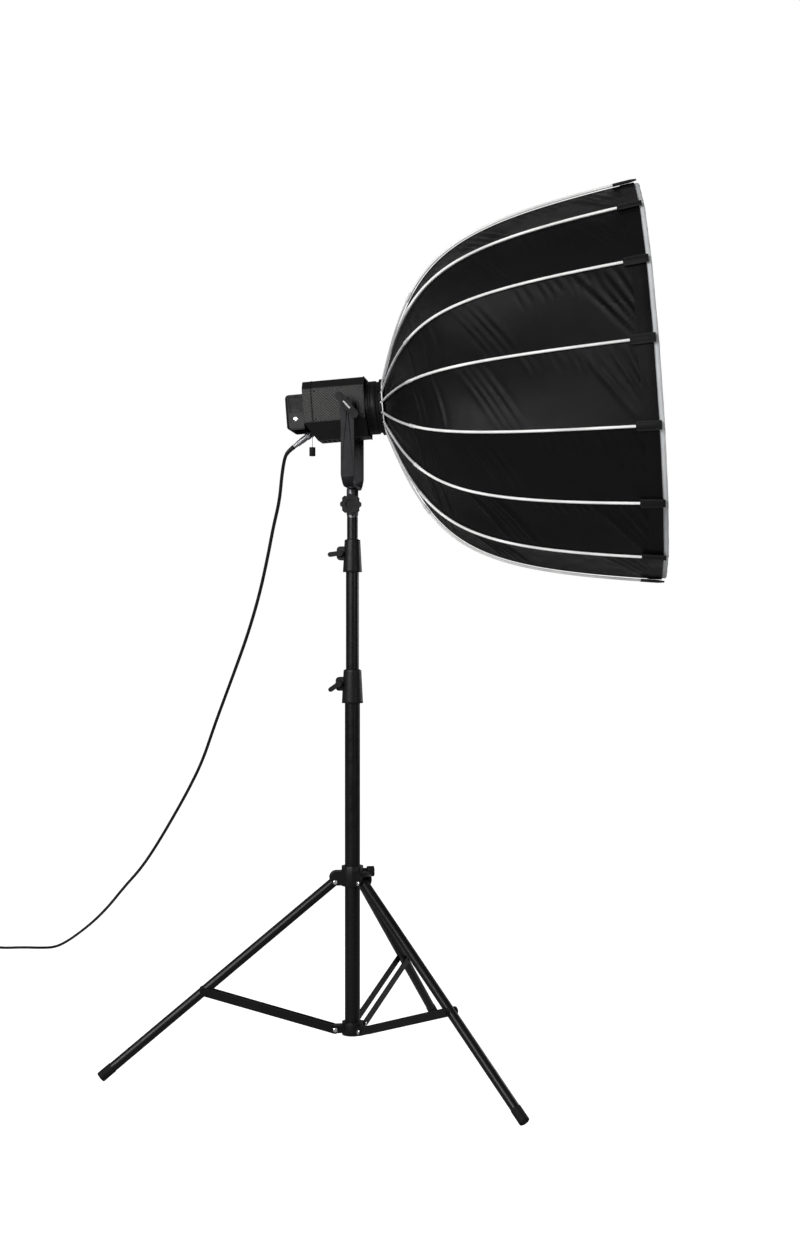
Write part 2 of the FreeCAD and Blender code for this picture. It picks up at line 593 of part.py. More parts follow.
def curve_point(points, share):
    """A point of a cubic Bezier curve given by its four (x, r) points."""
    weights = (
        (1 - share) ** 3, 3 * share * (1 - share) ** 2, 3 * share ** 2 * (1 - share), share ** 3,
    )
    return tuple(sum(w * p[axis] for w, p in zip(weights, points)) for axis in (0, 1))


def shifted_curve(offset):
    """The rib's curve moved inward and forward by offset, which the fabric follows."""
    inward = ((0.949, -0.314), (0.86, -0.51), (0.42, -0.91), (0.0, -1.0))
    return [(x + offset * dx, r + offset * dr) for (x, r), (dx, dr) in zip(RIB_CURVE, inward)]


def smooth_path(points, report=""):
    """Straight runs joined by tangent arcs, each arc as large as its two runs allow."""
    edges, start = [], points[0]
    radii = []
    for before, corner, after in zip(points, points[1:], points[2:]):
        back, ahead = before - corner, after - corner
        turn = math.pi - back.getAngle(ahead)
        reach = 0.45 * min(back.Length, ahead.Length)
        radius = reach / math.tan(turn / 2)
        radii.append(radius)
        back.normalize()
        ahead.normalize()
        enter, leave = corner + back * reach, corner + ahead * reach
        bisector = (back + ahead).normalize()
        centre_distance = radius / math.cos(turn / 2)
        middle = corner + bisector * (centre_distance - radius)
        edges.append(Part.LineSegment(start, enter).toShape())
        edges.append(Part.Arc(enter, middle, leave).toShape())
        start = leave
    edges.append(Part.LineSegment(start, points[-1]).toShape())
    if report:
        print(report, "arc radii, mm:", " ".join(f"{r:.0f}" for r in radii))
    return Part.Wire(edges)


def sweep_round(points, radius, report=""):
    path = smooth_path(points, report)
    first = (points[1] - points[0]).normalize()
    section = Part.Face(Part.Wire(Part.makeCircle(radius, points[0], first)))
    solid = path.makePipe(section)
    if report:
        ideal = math.pi * radius ** 2 * path.Length
        print(report, f"length {path.Length:.0f} mm, volume against its ideal {solid.Volume / ideal:.4f}")
    return solid


def rib_points(shares):
    return [V(x, 0, r) for x, r in (curve_point(RIB_CURVE, s) for s in shares)]


def make_rib():
    """A flat spring arm on the speed ring's pin, a round rod, and the cloth pocket on the rod's end."""
    arm_shares = [ARM_SHARE * n / 6 for n in range(7)]
    spine = rib_points(arm_shares)
    sides = ([], [])
    for before, here, after in zip([spine[0]] + spine, spine, spine[1:] + [spine[-1]]):
        along = (after - before).normalize()
        normal = V(-along.z, 0, along.x)
        sides[0].append(here + normal * ARM_HALF)
        sides[1].append(here - normal * ARM_HALF)
    arm = prism(sides[0] + sides[1][::-1], Y * 2 * ARM_HALF)
    arm.translate(Y * -ARM_HALF)
    eye = rod(spine[0] - Y * ARM_HALF, spine[0] + Y * ARM_HALF, 3.2)
    arm = arm.fuse(eye).cut(rod(spine[0] - Y * 5, spine[0] + Y * 5, RIB_PIN_R + RUNNING))
    rod_shares = [ARM_SHARE + (POCKET_SHARE - ARM_SHARE) * n / 8 for n in range(9)]
    line = rib_points(rod_shares)
    outer_rod = sweep_round(line, ROD_R)
    tip, root = rib_points([1.0])[0], line[-1]
    along = (tip - root).normalize()
    half = V(-along.z, 0, along.x) * POCKET_THICK / 2
    end = tip + along * POCKET_OVERHANG
    pocket = prism([root + half, end + half, end - half, root - half], Y * POCKET_WIDTH)
    pocket.translate(Y * -POCKET_WIDTH / 2)
    pocket = pocket.cut(outer_rod)
    return Part.Compound([arm, outer_rod.cut(arm), pocket])


def phases():
    return [FIRST_RIB_PHASE + 360 * n / RIBS for n in range(RIBS)]


def make_speed_ring():
    """The ring with a slot and a fixed pin for each rib, and the tube that locks into the lamp's ring."""
    low, high = SPEED_RING_X
    inner, outer = SPEED_RING_R
    ring = pipe(V(low, 0, 0), V(high, 0, 0), outer, inner)
    spigot = pipe(V(RING_X[0] + 13, 0, 0), V(low, 0, 0), RING_BORE - RUNNING, RING_BORE - 4)
    ring = ring.fuse(spigot)
    pivot = V(RIB_CURVE[0][0], 0, RIB_CURVE[0][1])
    pins = []
    for phase in phases():
        slot = block((low - 1, high + 1), (-RIB_SLOT / 2, RIB_SLOT / 2), (pivot.z - 5, outer + 5))
        ring = ring.cut(about_lamp(slot, phase))
        pins.append(about_lamp(rod(pivot - Y * 5.5, pivot + Y * 5.5, RIB_PIN_R), phase))
    return ring.fuse(pins)


def bezier_edge(points, phase):
    curve = Part.BezierCurve()
    curve.setPoles([V(x, 0, r) for x, r in points])
    return about_lamp(curve.toShape(), phase)


def make_canopy():
    """One closed skin of flat-sided gores from the speed ring to the rim, inside the ribs."""
    outside, inside = shifted_curve(SKIN_OFFSET), shifted_curve(SKIN_OFFSET + SKIN_THICK)
    faces = []
    for n, phase in enumerate(phases()):
        after = phase + 360 / RIBS
        outer = [bezier_edge(outside, a) for a in (phase, after)]
        inner = [bezier_edge(inside, a) for a in (phase, after)]
        faces += [Part.makeRuledSurface(*outer), Part.makeRuledSurface(*inner)]
        for end in (0, -1):
            corners = [e.Vertexes[end].Point for e in outer + inner[::-1]]
            faces.append(Part.Face(Part.makePolygon(corners + corners[:1])))
    shell = Part.makeShell(faces)
    shell.sewShape()
    skin = Part.makeSolid(Part.Shell(shell.Faces))
    if skin.Volume < 0:
        skin.reverse()
    return skin


def ring_polygon(radius, x):
    return [about_lamp(Part.Vertex(V(x, 0, radius)), phase).Point for phase in phases()]


def make_diffuser():
    """The white front cloth: a sixteen-sided tray whose low wall tucks behind the rim."""
    back, front = DIFFUSER_X
    tray = prism(ring_polygon(DIFFUSER_R, back), X * (front - back))
    hollow = prism(ring_polygon(DIFFUSER_R - SKIN_THICK, back - 1), X * (front - back + 1 - SKIN_THICK))
    return tray.cut(hollow)


# ---- cable -----------------------------------------------------------------


def cable_points():
    """The route of the cable that isn't coiled, from the plug's end to the coil's outer turn."""
    start = lamp_point(*plug_end())
    direction = lamp_point(*cut_normal()) - lamp_point(0, 0, 0)
    entry = V(COIL_CENTRE[0], COIL_CENTRE[1] + COIL_TURN_RADII[-1], CABLE_R)
    before = entry + V(36, 1, 0)
    leave = start + direction * GAP
    return [leave, leave + direction * 16] + [V(*p) for p in CABLE_ROUTE] + [before, entry]


def make_coil():
    """The outer shape of the wound length: a ring as wide and high as its turns."""
    centre = V(*COIL_CENTRE, 0)
    top = centre + Z * 2 * CABLE_R * COIL_LAYERS
    return pipe(centre, top, COIL_TURN_RADII[-1] + CABLE_R, COIL_TURN_RADII[0] - CABLE_R)


def make_end_plug():
    """The connector of the far end, lying on top of the coil's turns."""
    axis_z = 2 * CABLE_R * COIL_LAYERS + PLUG_R + 1.5
    middle = V(COIL_CENTRE[0] + END_PLUG_AHEAD, COIL_CENTRE[1] - sum(COIL_TURN_RADII) / 2, axis_z)
    return make_plug(middle + X * PLUG_LENGTH / 2, X * -1)


def lanyard_top():
    """The top of the cap's cord, just clear of the housing's cut corner, in the stand's frame."""
    x, y = LANYARD_AT
    (x1, z1), (x2, z2) = CUT_CORNER
    return lamp_point(x, y, z1 + (x - x1) * (z2 - z1) / (x2 - x1)) - Z * LANYARD_DROP


def make_lanyard():
    top = lanyard_top()
    return rod(top, top - Z * LANYARD_LENGTH, LANYARD_R)


def make_socket_cap():
    """The rubber cap that hangs on its cord."""
    top = lanyard_top() - Z * LANYARD_LENGTH
    cap = rod(top, top - Z * CAP_LENGTH, CAP_R)
    return cap.cut(rod(top - Z * 4, top - Z * (CAP_LENGTH + 1), CAP_R - 1.5))


# ---- assembly ---------------------------------------------------------------


def build_nodes():
    shell = make_housing_shell()
    nodes = {
        "column_tube": pipe(V(0, 0, COLUMN_Z[0]), V(0, 0, COLUMN_Z[1]), COLUMN_R, COLUMN_R - TUBE_WALL),
        "column_collar": make_collar(LOWER_COLLAR_Z, COLUMN_R, MID_R),
        "column_collar_knob": make_wing_lever(LOWER_COLLAR_Z, COLUMN_R, 35),
        "mid_tube": pipe(V(0, 0, MID_Z[0]), V(0, 0, MID_Z[1]), MID_R, MID_R - TUBE_WALL),
        "mid_collar": make_collar(UPPER_COLLAR_Z, MID_R, TOP_R),
        "mid_collar_knob": make_wing_lever(UPPER_COLLAR_Z, MID_R, 8),
        "top_tube": pipe(V(0, 0, TOP_Z[0]), V(0, 0, TOP_Z[1]), TOP_R, TOP_R - TUBE_WALL),
        "top_spigot": make_top_spigot(),
        "leg_hub": make_leg_hub(),
        "hub_lock_knob": make_hub_lock_knob(),
        "leg_spider": make_leg_spider(),
        "yoke_bracket": make_yoke(),
        "yoke_receiver": make_receiver(),
        "receiver_knob": make_receiver_knob(),
        "tilt_lock_lever": make_tilt_lever(),
        "pivot_bolt": make_pivot_bolt(),
        "power_cable": sweep_round(cable_points(), CABLE_R, "power cable"),
        "cable_coil": make_coil(),
        "cable_end_plug": make_end_plug(),
        "cap_lanyard": make_lanyard(),
        "socket_cap": make_socket_cap(),
    }
    parts = {"leg": make_leg(), "foot": make_foot(), "leg_brace": make_brace()}
    for number, azimuth in enumerate(LEG_AZIMUTHS, 1):
        for name, shape in parts.items():
            nodes[f"{name}_{number}"] = about_mast(shape, azimuth)
    lamp = {
        "lamp_housing": make_housing(shell),
        "rear_cover": make_rear_cover(shell),
        "mount_ring": make_mount_ring(),
        "mount_latch": make_mount_latch(),
        "heat_sink": make_heat_sink(),
        "fan_frame": make_fan_frame(),
        "fan_rotor": make_fan_rotor(),
        "led_module": make_led_module(),
        "rear_handle": make_handle(),
        "control_dial": make_dial(),
        "cable_plug": make_plug(socket_base() + cut_normal() * SOCKET_LENGTH, cut_normal()),
        "speed_ring": make_speed_ring(),
        "canopy_skin": make_canopy(),
        "front_diffuser": make_diffuser(),
    }
    rib = make_rib()
    for number, phase in enumerate(phases(), 1):
        lamp[f"rib_{number:02d}"] = about_lamp(rib, phase)
    for name, shape in lamp.items():
        nodes[name] = on_tilt_axis(shape)
    return nodes


CORD_NODES = ("power_cable", "cable_coil", "cable_plug", "cable_end_plug", "cap_lanyard", "socket_cap")


def to_bottom_centre(nodes):
    """The move that puts the origin at the bottom centre of the model's box, cords left out."""
    box = FreeCAD.BoundBox()
    for name, shape in nodes.items():
        if name not in CORD_NODES:
            box.add(shape.optimalBoundingBox(False, False))
    return V(-box.Center.x, -box.Center.y, -box.ZMin)


NODES = build_nodes()
SHIFT = to_bottom_centre(NODES)
print(f"mast axis at x {SHIFT.x:.3f} y {SHIFT.y:.3f}, lifted {SHIFT.z:.3f} mm")
os.makedirs("parts", exist_ok=True)
for node_name, node_shape in NODES.items():
    node_shape.translate(SHIFT)
    node_shape.exportStep(f"parts/{node_name}.step")
    if not node_shape.isValid():
        print("not valid:", node_name)
print(len(NODES), "nodes")
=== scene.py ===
import bpy
import json
import random
from math import copysign, cos, dist, exp, hypot, pi, radians, sin
from mathutils import Matrix, Vector

# Looks of the softbox, its lamp head, yoke and tripod stand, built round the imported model.
# Metres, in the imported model's frame. LAMP puts what is made in the lamp's own frame in place.
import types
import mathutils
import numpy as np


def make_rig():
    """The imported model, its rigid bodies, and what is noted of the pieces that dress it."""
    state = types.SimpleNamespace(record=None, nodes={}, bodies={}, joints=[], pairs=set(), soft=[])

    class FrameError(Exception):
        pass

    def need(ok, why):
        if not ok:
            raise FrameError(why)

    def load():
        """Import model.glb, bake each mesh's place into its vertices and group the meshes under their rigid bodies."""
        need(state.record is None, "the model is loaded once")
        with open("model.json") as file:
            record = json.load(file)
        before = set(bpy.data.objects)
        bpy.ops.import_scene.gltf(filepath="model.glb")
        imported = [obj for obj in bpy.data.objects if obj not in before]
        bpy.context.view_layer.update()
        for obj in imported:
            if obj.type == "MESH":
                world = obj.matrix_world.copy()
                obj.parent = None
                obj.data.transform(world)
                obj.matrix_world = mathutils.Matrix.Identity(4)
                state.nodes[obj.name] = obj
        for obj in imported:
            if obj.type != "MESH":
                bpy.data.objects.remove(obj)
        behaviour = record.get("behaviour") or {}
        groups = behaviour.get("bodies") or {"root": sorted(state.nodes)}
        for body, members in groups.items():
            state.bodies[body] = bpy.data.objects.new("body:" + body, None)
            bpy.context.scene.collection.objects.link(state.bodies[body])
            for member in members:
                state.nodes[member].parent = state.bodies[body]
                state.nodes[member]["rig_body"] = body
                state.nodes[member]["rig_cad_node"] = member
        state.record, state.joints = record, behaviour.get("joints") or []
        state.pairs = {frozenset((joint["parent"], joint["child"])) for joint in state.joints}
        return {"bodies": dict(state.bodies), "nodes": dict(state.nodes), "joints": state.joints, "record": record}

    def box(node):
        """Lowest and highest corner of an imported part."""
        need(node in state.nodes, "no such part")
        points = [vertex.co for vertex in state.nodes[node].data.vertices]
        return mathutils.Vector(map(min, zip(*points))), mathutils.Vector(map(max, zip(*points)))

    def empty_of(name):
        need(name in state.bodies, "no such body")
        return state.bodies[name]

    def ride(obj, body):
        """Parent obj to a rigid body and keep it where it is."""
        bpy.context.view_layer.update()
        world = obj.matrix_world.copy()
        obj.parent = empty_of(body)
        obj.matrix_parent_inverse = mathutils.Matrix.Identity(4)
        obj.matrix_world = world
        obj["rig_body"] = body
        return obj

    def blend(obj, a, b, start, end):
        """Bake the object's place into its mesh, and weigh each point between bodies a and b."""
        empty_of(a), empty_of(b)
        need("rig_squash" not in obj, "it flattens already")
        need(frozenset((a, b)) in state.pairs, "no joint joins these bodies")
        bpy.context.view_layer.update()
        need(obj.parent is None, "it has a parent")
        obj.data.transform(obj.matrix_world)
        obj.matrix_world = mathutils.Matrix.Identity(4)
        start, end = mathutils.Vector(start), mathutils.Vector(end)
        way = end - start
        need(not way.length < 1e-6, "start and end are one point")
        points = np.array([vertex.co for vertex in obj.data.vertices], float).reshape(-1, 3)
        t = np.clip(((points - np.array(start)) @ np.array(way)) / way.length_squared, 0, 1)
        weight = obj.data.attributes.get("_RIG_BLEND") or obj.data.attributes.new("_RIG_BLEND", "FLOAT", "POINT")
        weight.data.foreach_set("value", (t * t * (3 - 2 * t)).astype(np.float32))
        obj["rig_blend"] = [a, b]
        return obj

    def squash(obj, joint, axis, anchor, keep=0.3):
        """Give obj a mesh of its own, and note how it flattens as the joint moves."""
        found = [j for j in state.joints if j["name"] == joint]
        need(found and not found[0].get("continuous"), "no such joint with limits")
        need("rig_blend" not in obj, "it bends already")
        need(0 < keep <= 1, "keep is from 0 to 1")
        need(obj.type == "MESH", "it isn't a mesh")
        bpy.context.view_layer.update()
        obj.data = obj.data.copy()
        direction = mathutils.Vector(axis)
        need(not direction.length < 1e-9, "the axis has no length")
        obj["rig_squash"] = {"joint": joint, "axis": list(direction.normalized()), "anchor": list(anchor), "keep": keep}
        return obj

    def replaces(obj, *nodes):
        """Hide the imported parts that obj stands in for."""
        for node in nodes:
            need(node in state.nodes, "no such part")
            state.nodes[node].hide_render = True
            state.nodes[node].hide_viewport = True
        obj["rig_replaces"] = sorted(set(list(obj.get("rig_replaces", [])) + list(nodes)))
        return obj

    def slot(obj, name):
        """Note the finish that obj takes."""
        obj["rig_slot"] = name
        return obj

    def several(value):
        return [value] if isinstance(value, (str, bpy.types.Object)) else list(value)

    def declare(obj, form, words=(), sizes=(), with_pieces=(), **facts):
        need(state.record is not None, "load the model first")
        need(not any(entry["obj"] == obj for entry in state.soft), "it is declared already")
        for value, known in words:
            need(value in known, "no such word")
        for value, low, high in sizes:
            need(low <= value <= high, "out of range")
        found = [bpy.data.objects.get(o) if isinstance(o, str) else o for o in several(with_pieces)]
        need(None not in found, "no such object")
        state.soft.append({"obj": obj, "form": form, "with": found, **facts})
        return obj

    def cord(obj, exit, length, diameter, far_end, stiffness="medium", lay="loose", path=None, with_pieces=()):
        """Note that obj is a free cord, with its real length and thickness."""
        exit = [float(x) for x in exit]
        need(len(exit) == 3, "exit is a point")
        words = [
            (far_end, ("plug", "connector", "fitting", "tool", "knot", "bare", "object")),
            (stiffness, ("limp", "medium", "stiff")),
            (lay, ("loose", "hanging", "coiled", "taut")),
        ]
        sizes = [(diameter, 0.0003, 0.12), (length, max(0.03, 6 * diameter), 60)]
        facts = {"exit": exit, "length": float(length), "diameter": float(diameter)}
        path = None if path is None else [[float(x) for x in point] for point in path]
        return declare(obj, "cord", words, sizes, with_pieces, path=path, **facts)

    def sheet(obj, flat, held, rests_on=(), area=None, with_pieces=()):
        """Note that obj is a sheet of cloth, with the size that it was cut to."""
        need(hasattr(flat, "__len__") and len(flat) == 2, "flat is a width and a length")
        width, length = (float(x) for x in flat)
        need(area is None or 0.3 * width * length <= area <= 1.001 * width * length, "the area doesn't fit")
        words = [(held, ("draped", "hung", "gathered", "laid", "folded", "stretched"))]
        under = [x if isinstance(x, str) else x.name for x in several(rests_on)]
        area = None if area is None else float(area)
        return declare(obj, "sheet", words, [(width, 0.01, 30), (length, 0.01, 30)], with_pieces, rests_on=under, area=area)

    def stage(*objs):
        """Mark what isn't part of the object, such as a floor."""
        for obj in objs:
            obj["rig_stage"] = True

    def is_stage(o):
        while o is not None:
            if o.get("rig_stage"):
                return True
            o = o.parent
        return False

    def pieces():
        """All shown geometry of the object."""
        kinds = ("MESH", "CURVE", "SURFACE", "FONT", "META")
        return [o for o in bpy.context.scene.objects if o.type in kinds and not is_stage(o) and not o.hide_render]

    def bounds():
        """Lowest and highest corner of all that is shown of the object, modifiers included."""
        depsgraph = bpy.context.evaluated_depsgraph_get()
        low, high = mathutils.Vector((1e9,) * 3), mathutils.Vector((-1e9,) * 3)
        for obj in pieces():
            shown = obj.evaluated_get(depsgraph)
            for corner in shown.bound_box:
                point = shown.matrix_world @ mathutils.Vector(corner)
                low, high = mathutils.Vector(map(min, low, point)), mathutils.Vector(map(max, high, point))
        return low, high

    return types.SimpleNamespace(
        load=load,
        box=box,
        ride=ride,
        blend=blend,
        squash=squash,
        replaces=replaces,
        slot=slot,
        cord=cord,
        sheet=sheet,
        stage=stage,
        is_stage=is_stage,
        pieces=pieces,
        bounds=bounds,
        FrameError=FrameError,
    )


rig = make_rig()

for leftover in list(bpy.data.objects):
    bpy.data.objects.remove(leftover)
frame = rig.load()
NODES = frame["nodes"]
CAD_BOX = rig.bounds()


# ---- places, read from the frame ----

def middle(node):
    low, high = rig.box(node)
    return (low + high) / 2


MAST = middle("column_tube")
TILT_HEIGHT = middle("pivot_bolt").z
TILT_UP = radians(4.31)
LAMP = Matrix.Translation((MAST.x, MAST.y, TILT_HEIGHT)) @ Matrix.Rotation(-TILT_UP, 4, "Y")
LAMP_TURN = LAMP.to_3x3()
RIBS, FIRST_PHASE = 16, radians(4.35)
STEP = 2 * pi / RIBS
RIB_CURVE = ((0.074, 0.056), (0.1677, 0.3392), (0.2395, 0.3892), (0.671, 0.450))
KNUCKLE, POCKET = 0.27, 0.963    # shares of the rib's curve where its rod and its pocket start
CABLE_R = 0.004


def out_at(phase):
    """Unit vector away from the lamp's axis: 0 is the -Y side and a quarter turn is the top."""
    return Vector((0, -cos(phase), sin(phase)))


def along_at(phase):
    """Unit vector round the lamp's axis, the way the phase grows."""
    return Vector((0, sin(phase), cos(phase)))


def from_axis(x, way, reach):
    """The point that is x along the lamp's axis and reach away from it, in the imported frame."""
    return LAMP @ (Vector((x, 0, 0)) + way * reach)


def rib_phase(rib):
    return FIRST_PHASE + rib * STEP


def rib_body(rib):
    return f"rib_{rib + 1:02d}"


def gore_sides(gore):
    """Unit vectors away from the lamp's axis, at the two ribs that hold a gore."""
    return out_at(rib_phase(gore)), out_at(rib_phase(gore + 1))


def put(name, data):
    """A new object in the scene."""
    thing = bpy.data.objects.new(name, data)
    bpy.context.collection.objects.link(thing)
    return thing


# ---- camera and light ----

def add_camera():
    data = bpy.data.cameras.new("camera")
    data.lens, data.sensor_width = 50.53, 36.0
    camera = put("camera", data)
    camera.location = (MAST.x + 0.5194, MAST.y - 3.9485, 1.0428)
    camera.rotation_euler = (radians(90), 0, radians(5.92))
    bpy.context.scene.camera = camera


def add_softlight(name, place, target, width, height, power):
    data = bpy.data.lights.new(name, "AREA")
    data.shape, data.size, data.size_y, data.energy = "RECTANGLE", width, height, power
    light = put(name, data)
    light.location = place
    light.rotation_euler = (Vector(target) - Vector(place)).to_track_quat("-Z", "Y").to_euler()


add_camera()
CENTRE = (0.15, 0, 1.4)
add_softlight("key_light", (-1.9, -3.3, 2.3), CENTRE, 3.2, 1.8, 170)
add_softlight("fill_light", (3.0, -3.0, 1.8), CENTRE, 1.6, 1.6, 20)
add_softlight("front_light", (2.8, 2.2, 1.7), (0.6, 0, 1.45), 1.6, 1.6, 45)


def add_world():
    """White behind the object, and a dimmer even light from all round."""
    world = bpy.data.worlds.new("studio")
    world.use_nodes = True
    tree = world.node_tree
    light = tree.nodes["Background"]
    light.inputs["Color"].default_value = (1, 1, 1, 1)
    light.inputs["Strength"].default_value = 0.22
    backdrop, choose = tree.nodes.new("ShaderNodeBackground"), tree.nodes.new("ShaderNodeMixShader")
    backdrop.inputs["Color"].default_value = (1, 1, 1, 1)
    tree.links.new(tree.nodes.new("ShaderNodeLightPath").outputs["Is Camera Ray"], choose.inputs[0])
    tree.links.new(light.outputs[0], choose.inputs[1])
    tree.links.new(backdrop.outputs[0], choose.inputs[2])
    tree.links.new(choose.outputs[0], tree.nodes["World Output"].inputs["Surface"])
    bpy.context.scene.world = world


add_world()
bpy.context.scene.view_settings.view_transform = "Standard"


# ---- materials ----

class Nodes:
    """A material under construction, with short calls for the nodes that the finishes share."""

    def __init__(self, name, colour, roughness, metallic=0.0, **sockets):
        self.material = bpy.data.materials.new(name)
        self.material.use_nodes = True
        self.tree = self.material.node_tree
        self.shader = self.tree.nodes["Principled BSDF"]
        self.coordinates = self.add("ShaderNodeTexCoord").outputs["Object"]
        self.shader.inputs["Metallic"].default_value = metallic
        self.shader.inputs["Roughness"].default_value = roughness
        self.shader.inputs["Base Color"].default_value = (*colour, 1)
        for key, value in sockets.items():
            self.shader.inputs[key.replace("_", " ")].default_value = value

    def add(self, kind, **settings):
        node = self.tree.nodes.new(kind)
        for key, value in settings.items():
            setattr(node, key, value)
        return node

    def link(self, source, target):
        self.tree.links.new(source, target)

    def stretched(self, scale, turn=(0, 0, 0)):
        mapping = self.add("ShaderNodeMapping")
        mapping.inputs["Scale"].default_value = scale
        mapping.inputs["Rotation"].default_value = turn
        self.link(self.coordinates, mapping.inputs["Vector"])
        return mapping.outputs["Vector"]

    def noise(self, scale, detail=4.0, source=None):
        node = self.add("ShaderNodeTexNoise")
        node.inputs["Scale"].default_value = scale
        node.inputs["Detail"].default_value = detail
        self.link(source or self.coordinates, node.inputs["Vector"])
        return node.outputs["Fac"]

    def ramp(self, source, low, high, start=0.3, end=0.7):
        """Maps a value to a range of numbers, or of colours if low and high are colours."""
        if isinstance(low, (int, float)):
            node = self.add("ShaderNodeMapRange")
            for key, value in zip(("From Min", "From Max", "To Min", "To Max"), (start, end, low, high)):
                node.inputs[key].default_value = value
            self.link(source, node.inputs["Value"])
            return node.outputs["Result"]
        node = self.add("ShaderNodeValToRGB")
        for element, place, colour in zip(node.color_ramp.elements, (start, end), (low, high)):
            element.position, element.color = place, (*colour, 1)
        self.link(source, node.inputs["Fac"])
        return node.outputs["Color"]

    def colour(self, source):
        self.link(source, self.shader.inputs["Base Color"])

    def roughness(self, source):
        self.link(source, self.shader.inputs["Roughness"])

    def bump(self, source, distance, strength):
        node = self.add("ShaderNodeBump")
        node.inputs["Distance"].default_value = distance
        node.inputs["Strength"].default_value = strength
        self.link(source, node.inputs["Height"])
        normal = self.shader.inputs["Normal"]
        if normal.is_linked:
            self.link(normal.links[0].from_socket, node.inputs["Normal"])
        self.link(node.outputs["Normal"], normal)


def shade(colour, factor):
    return tuple(min(1.0, c * factor) for c in colour)


def coated(name, colour, roughness, depth, grain=900, shine=0.5):
    """Paint, powder coat or moulded plastic: fine grain, faint mottling and uneven gloss."""
    m = Nodes(name, colour, roughness, Specular_IOR_Level=shine)
    m.colour(m.ramp(m.noise(14, 5), shade(colour, 0.82), shade(colour, 1.2)))
    m.roughness(m.ramp(m.noise(60, 6), roughness - 0.06, roughness + 0.08))
    m.bump(m.noise(grain, 3), depth, 0.5)
    return m.material


def black(name, level, roughness, grain, depth, shine=0.16):
    """A coated finish that is nearly black and reflects little."""
    return coated(name, (level, level, level * 1.06), roughness, depth, grain, shine)


def brushed(name, colour, roughness, scale):
    """Metal with fine lines, drawn out along the axis where scale is small."""
    m = Nodes(name, colour, roughness, 1.0)
    lines = m.noise(1.0, 4, m.stretched(scale))
    m.colour(m.ramp(lines, shade(colour, 0.8), shade(colour, 1.1)))
    m.roughness(m.ramp(lines, roughness - 0.05, roughness + 0.1))
    m.bump(lines, 0.00004, 0.6)
    return m.material


def woven(name, colour, roughness, thread, depth, sheen, contrast=0.25, shine=0.5, spread=(0.75, 1.3)):
    """Plain-woven cloth, with its threads along the piece's own UV directions, in metres."""
    m = Nodes(name, colour, roughness, Sheen_Weight=sheen, Sheen_Roughness=0.45, Specular_IOR_Level=shine)
    uv = m.add("ShaderNodeTexCoord").outputs["UV"]
    weave = []
    for axis in ("X", "Y"):
        wave = m.add("ShaderNodeTexWave", bands_direction=axis)
        wave.inputs["Scale"].default_value = 1 / thread
        wave.inputs["Distortion"].default_value = 0.6
        wave.inputs["Detail"].default_value = 1.0
        m.link(uv, wave.inputs["Vector"])
        weave.append(wave.outputs["Fac"])
    product = m.add("ShaderNodeMath", operation="MULTIPLY")
    for n in (0, 1):
        m.link(weave[n], product.inputs[n])
    mottle = m.add("ShaderNodeMath", operation="ADD")
    m.link(m.ramp(m.noise(7, 6), 0.0, 1 - contrast), mottle.inputs[0])
    m.link(m.ramp(product.outputs[0], 0.0, contrast, 0, 1), mottle.inputs[1])
    m.colour(m.ramp(mottle.outputs[0], shade(colour, spread[0]), shade(colour, spread[1]), 0.0, 1.0))
    m.roughness(m.ramp(m.noise(25, 5), roughness - 0.06, roughness + 0.1))
    m.bump(product.outputs[0], depth, 0.6)
    m.bump(m.noise(18, 4), 0.0012, 0.35)
    return m.material


BLACK_FABRIC = woven("canopy_black", (0.0036, 0.0034, 0.0039), 0.35, 0.0011, 0.00012, sheen=0.0, shine=0.11)
SILVER_LINING = woven("canopy_silver", (0.62, 0.62, 0.63), 0.32, 0.0011, 0.0001, sheen=0.0)
WHITE_CLOTH = woven(
    "diffuser_white", (0.82, 0.82, 0.81), 0.75, 0.0008, 0.00008, sheen=0.1, spread=(0.92, 1.06),
)
WEBBING = woven("pocket_webbing", (0.006, 0.006, 0.0065), 0.6, 0.0016, 0.0003, sheen=0.02, shine=0.15)
# The front cloth's edge is white cloth coloured grey: painted shade standing in for the half shade it lies in.
PAINTED_SHADE_CLOTH_EDGE = woven("front_cloth_edge_painted_shade", (0.52, 0.53, 0.54), 0.7, 0.0008, 0.00008, sheen=0.1, contrast=0.15)
ROD_WHITE = coated("rib_white", (0.72, 0.72, 0.71), 0.38, grain=500, depth=0.00003)
ARM_GREY = coated("rib_arm_grey", (0.46, 0.46, 0.47), 0.4, depth=0.00003)
CLIP_GREY = coated("rib_clip_grey", (0.52, 0.52, 0.52), 0.45, grain=700, depth=0.00005)
TUBE_BLACK = black("tube_black", 0.004, 0.30, grain=1400, depth=0.000003, shine=0.2)
CAST_BLACK = black("cast_black", 0.005, 0.42, grain=1000, depth=0.00003, shine=0.18)
KNOB_BLACK = black("knob_black", 0.006, 0.52, grain=1300, depth=0.00006)
RUBBER = black("rubber_black", 0.006, 0.72, grain=800, depth=0.0001)
BRIGHT_STEEL = brushed("bright_steel", (0.62, 0.62, 0.63), 0.25, (500, 500, 500))
YOKE_PAINT = coated("yoke_paint", (0.010, 0.0095, 0.0115), 0.42, depth=0.00003, shine=0.14)
RECEIVER_METAL = brushed("receiver_metal", (0.13, 0.13, 0.14), 0.35, (300, 300, 60))
HOUSING_BLACK = black("housing_black", 0.006, 0.40, grain=1100, depth=0.00005)
TRIM_BLACK = black("trim_black", 0.005, 0.45, grain=900, depth=0.00005)
RING_BLACK = black("ring_black", 0.004, 0.5, grain=1400, depth=0.00002)
SINK_METAL = brushed("sink_metal", (0.36, 0.36, 0.37), 0.4, (40, 400, 400))
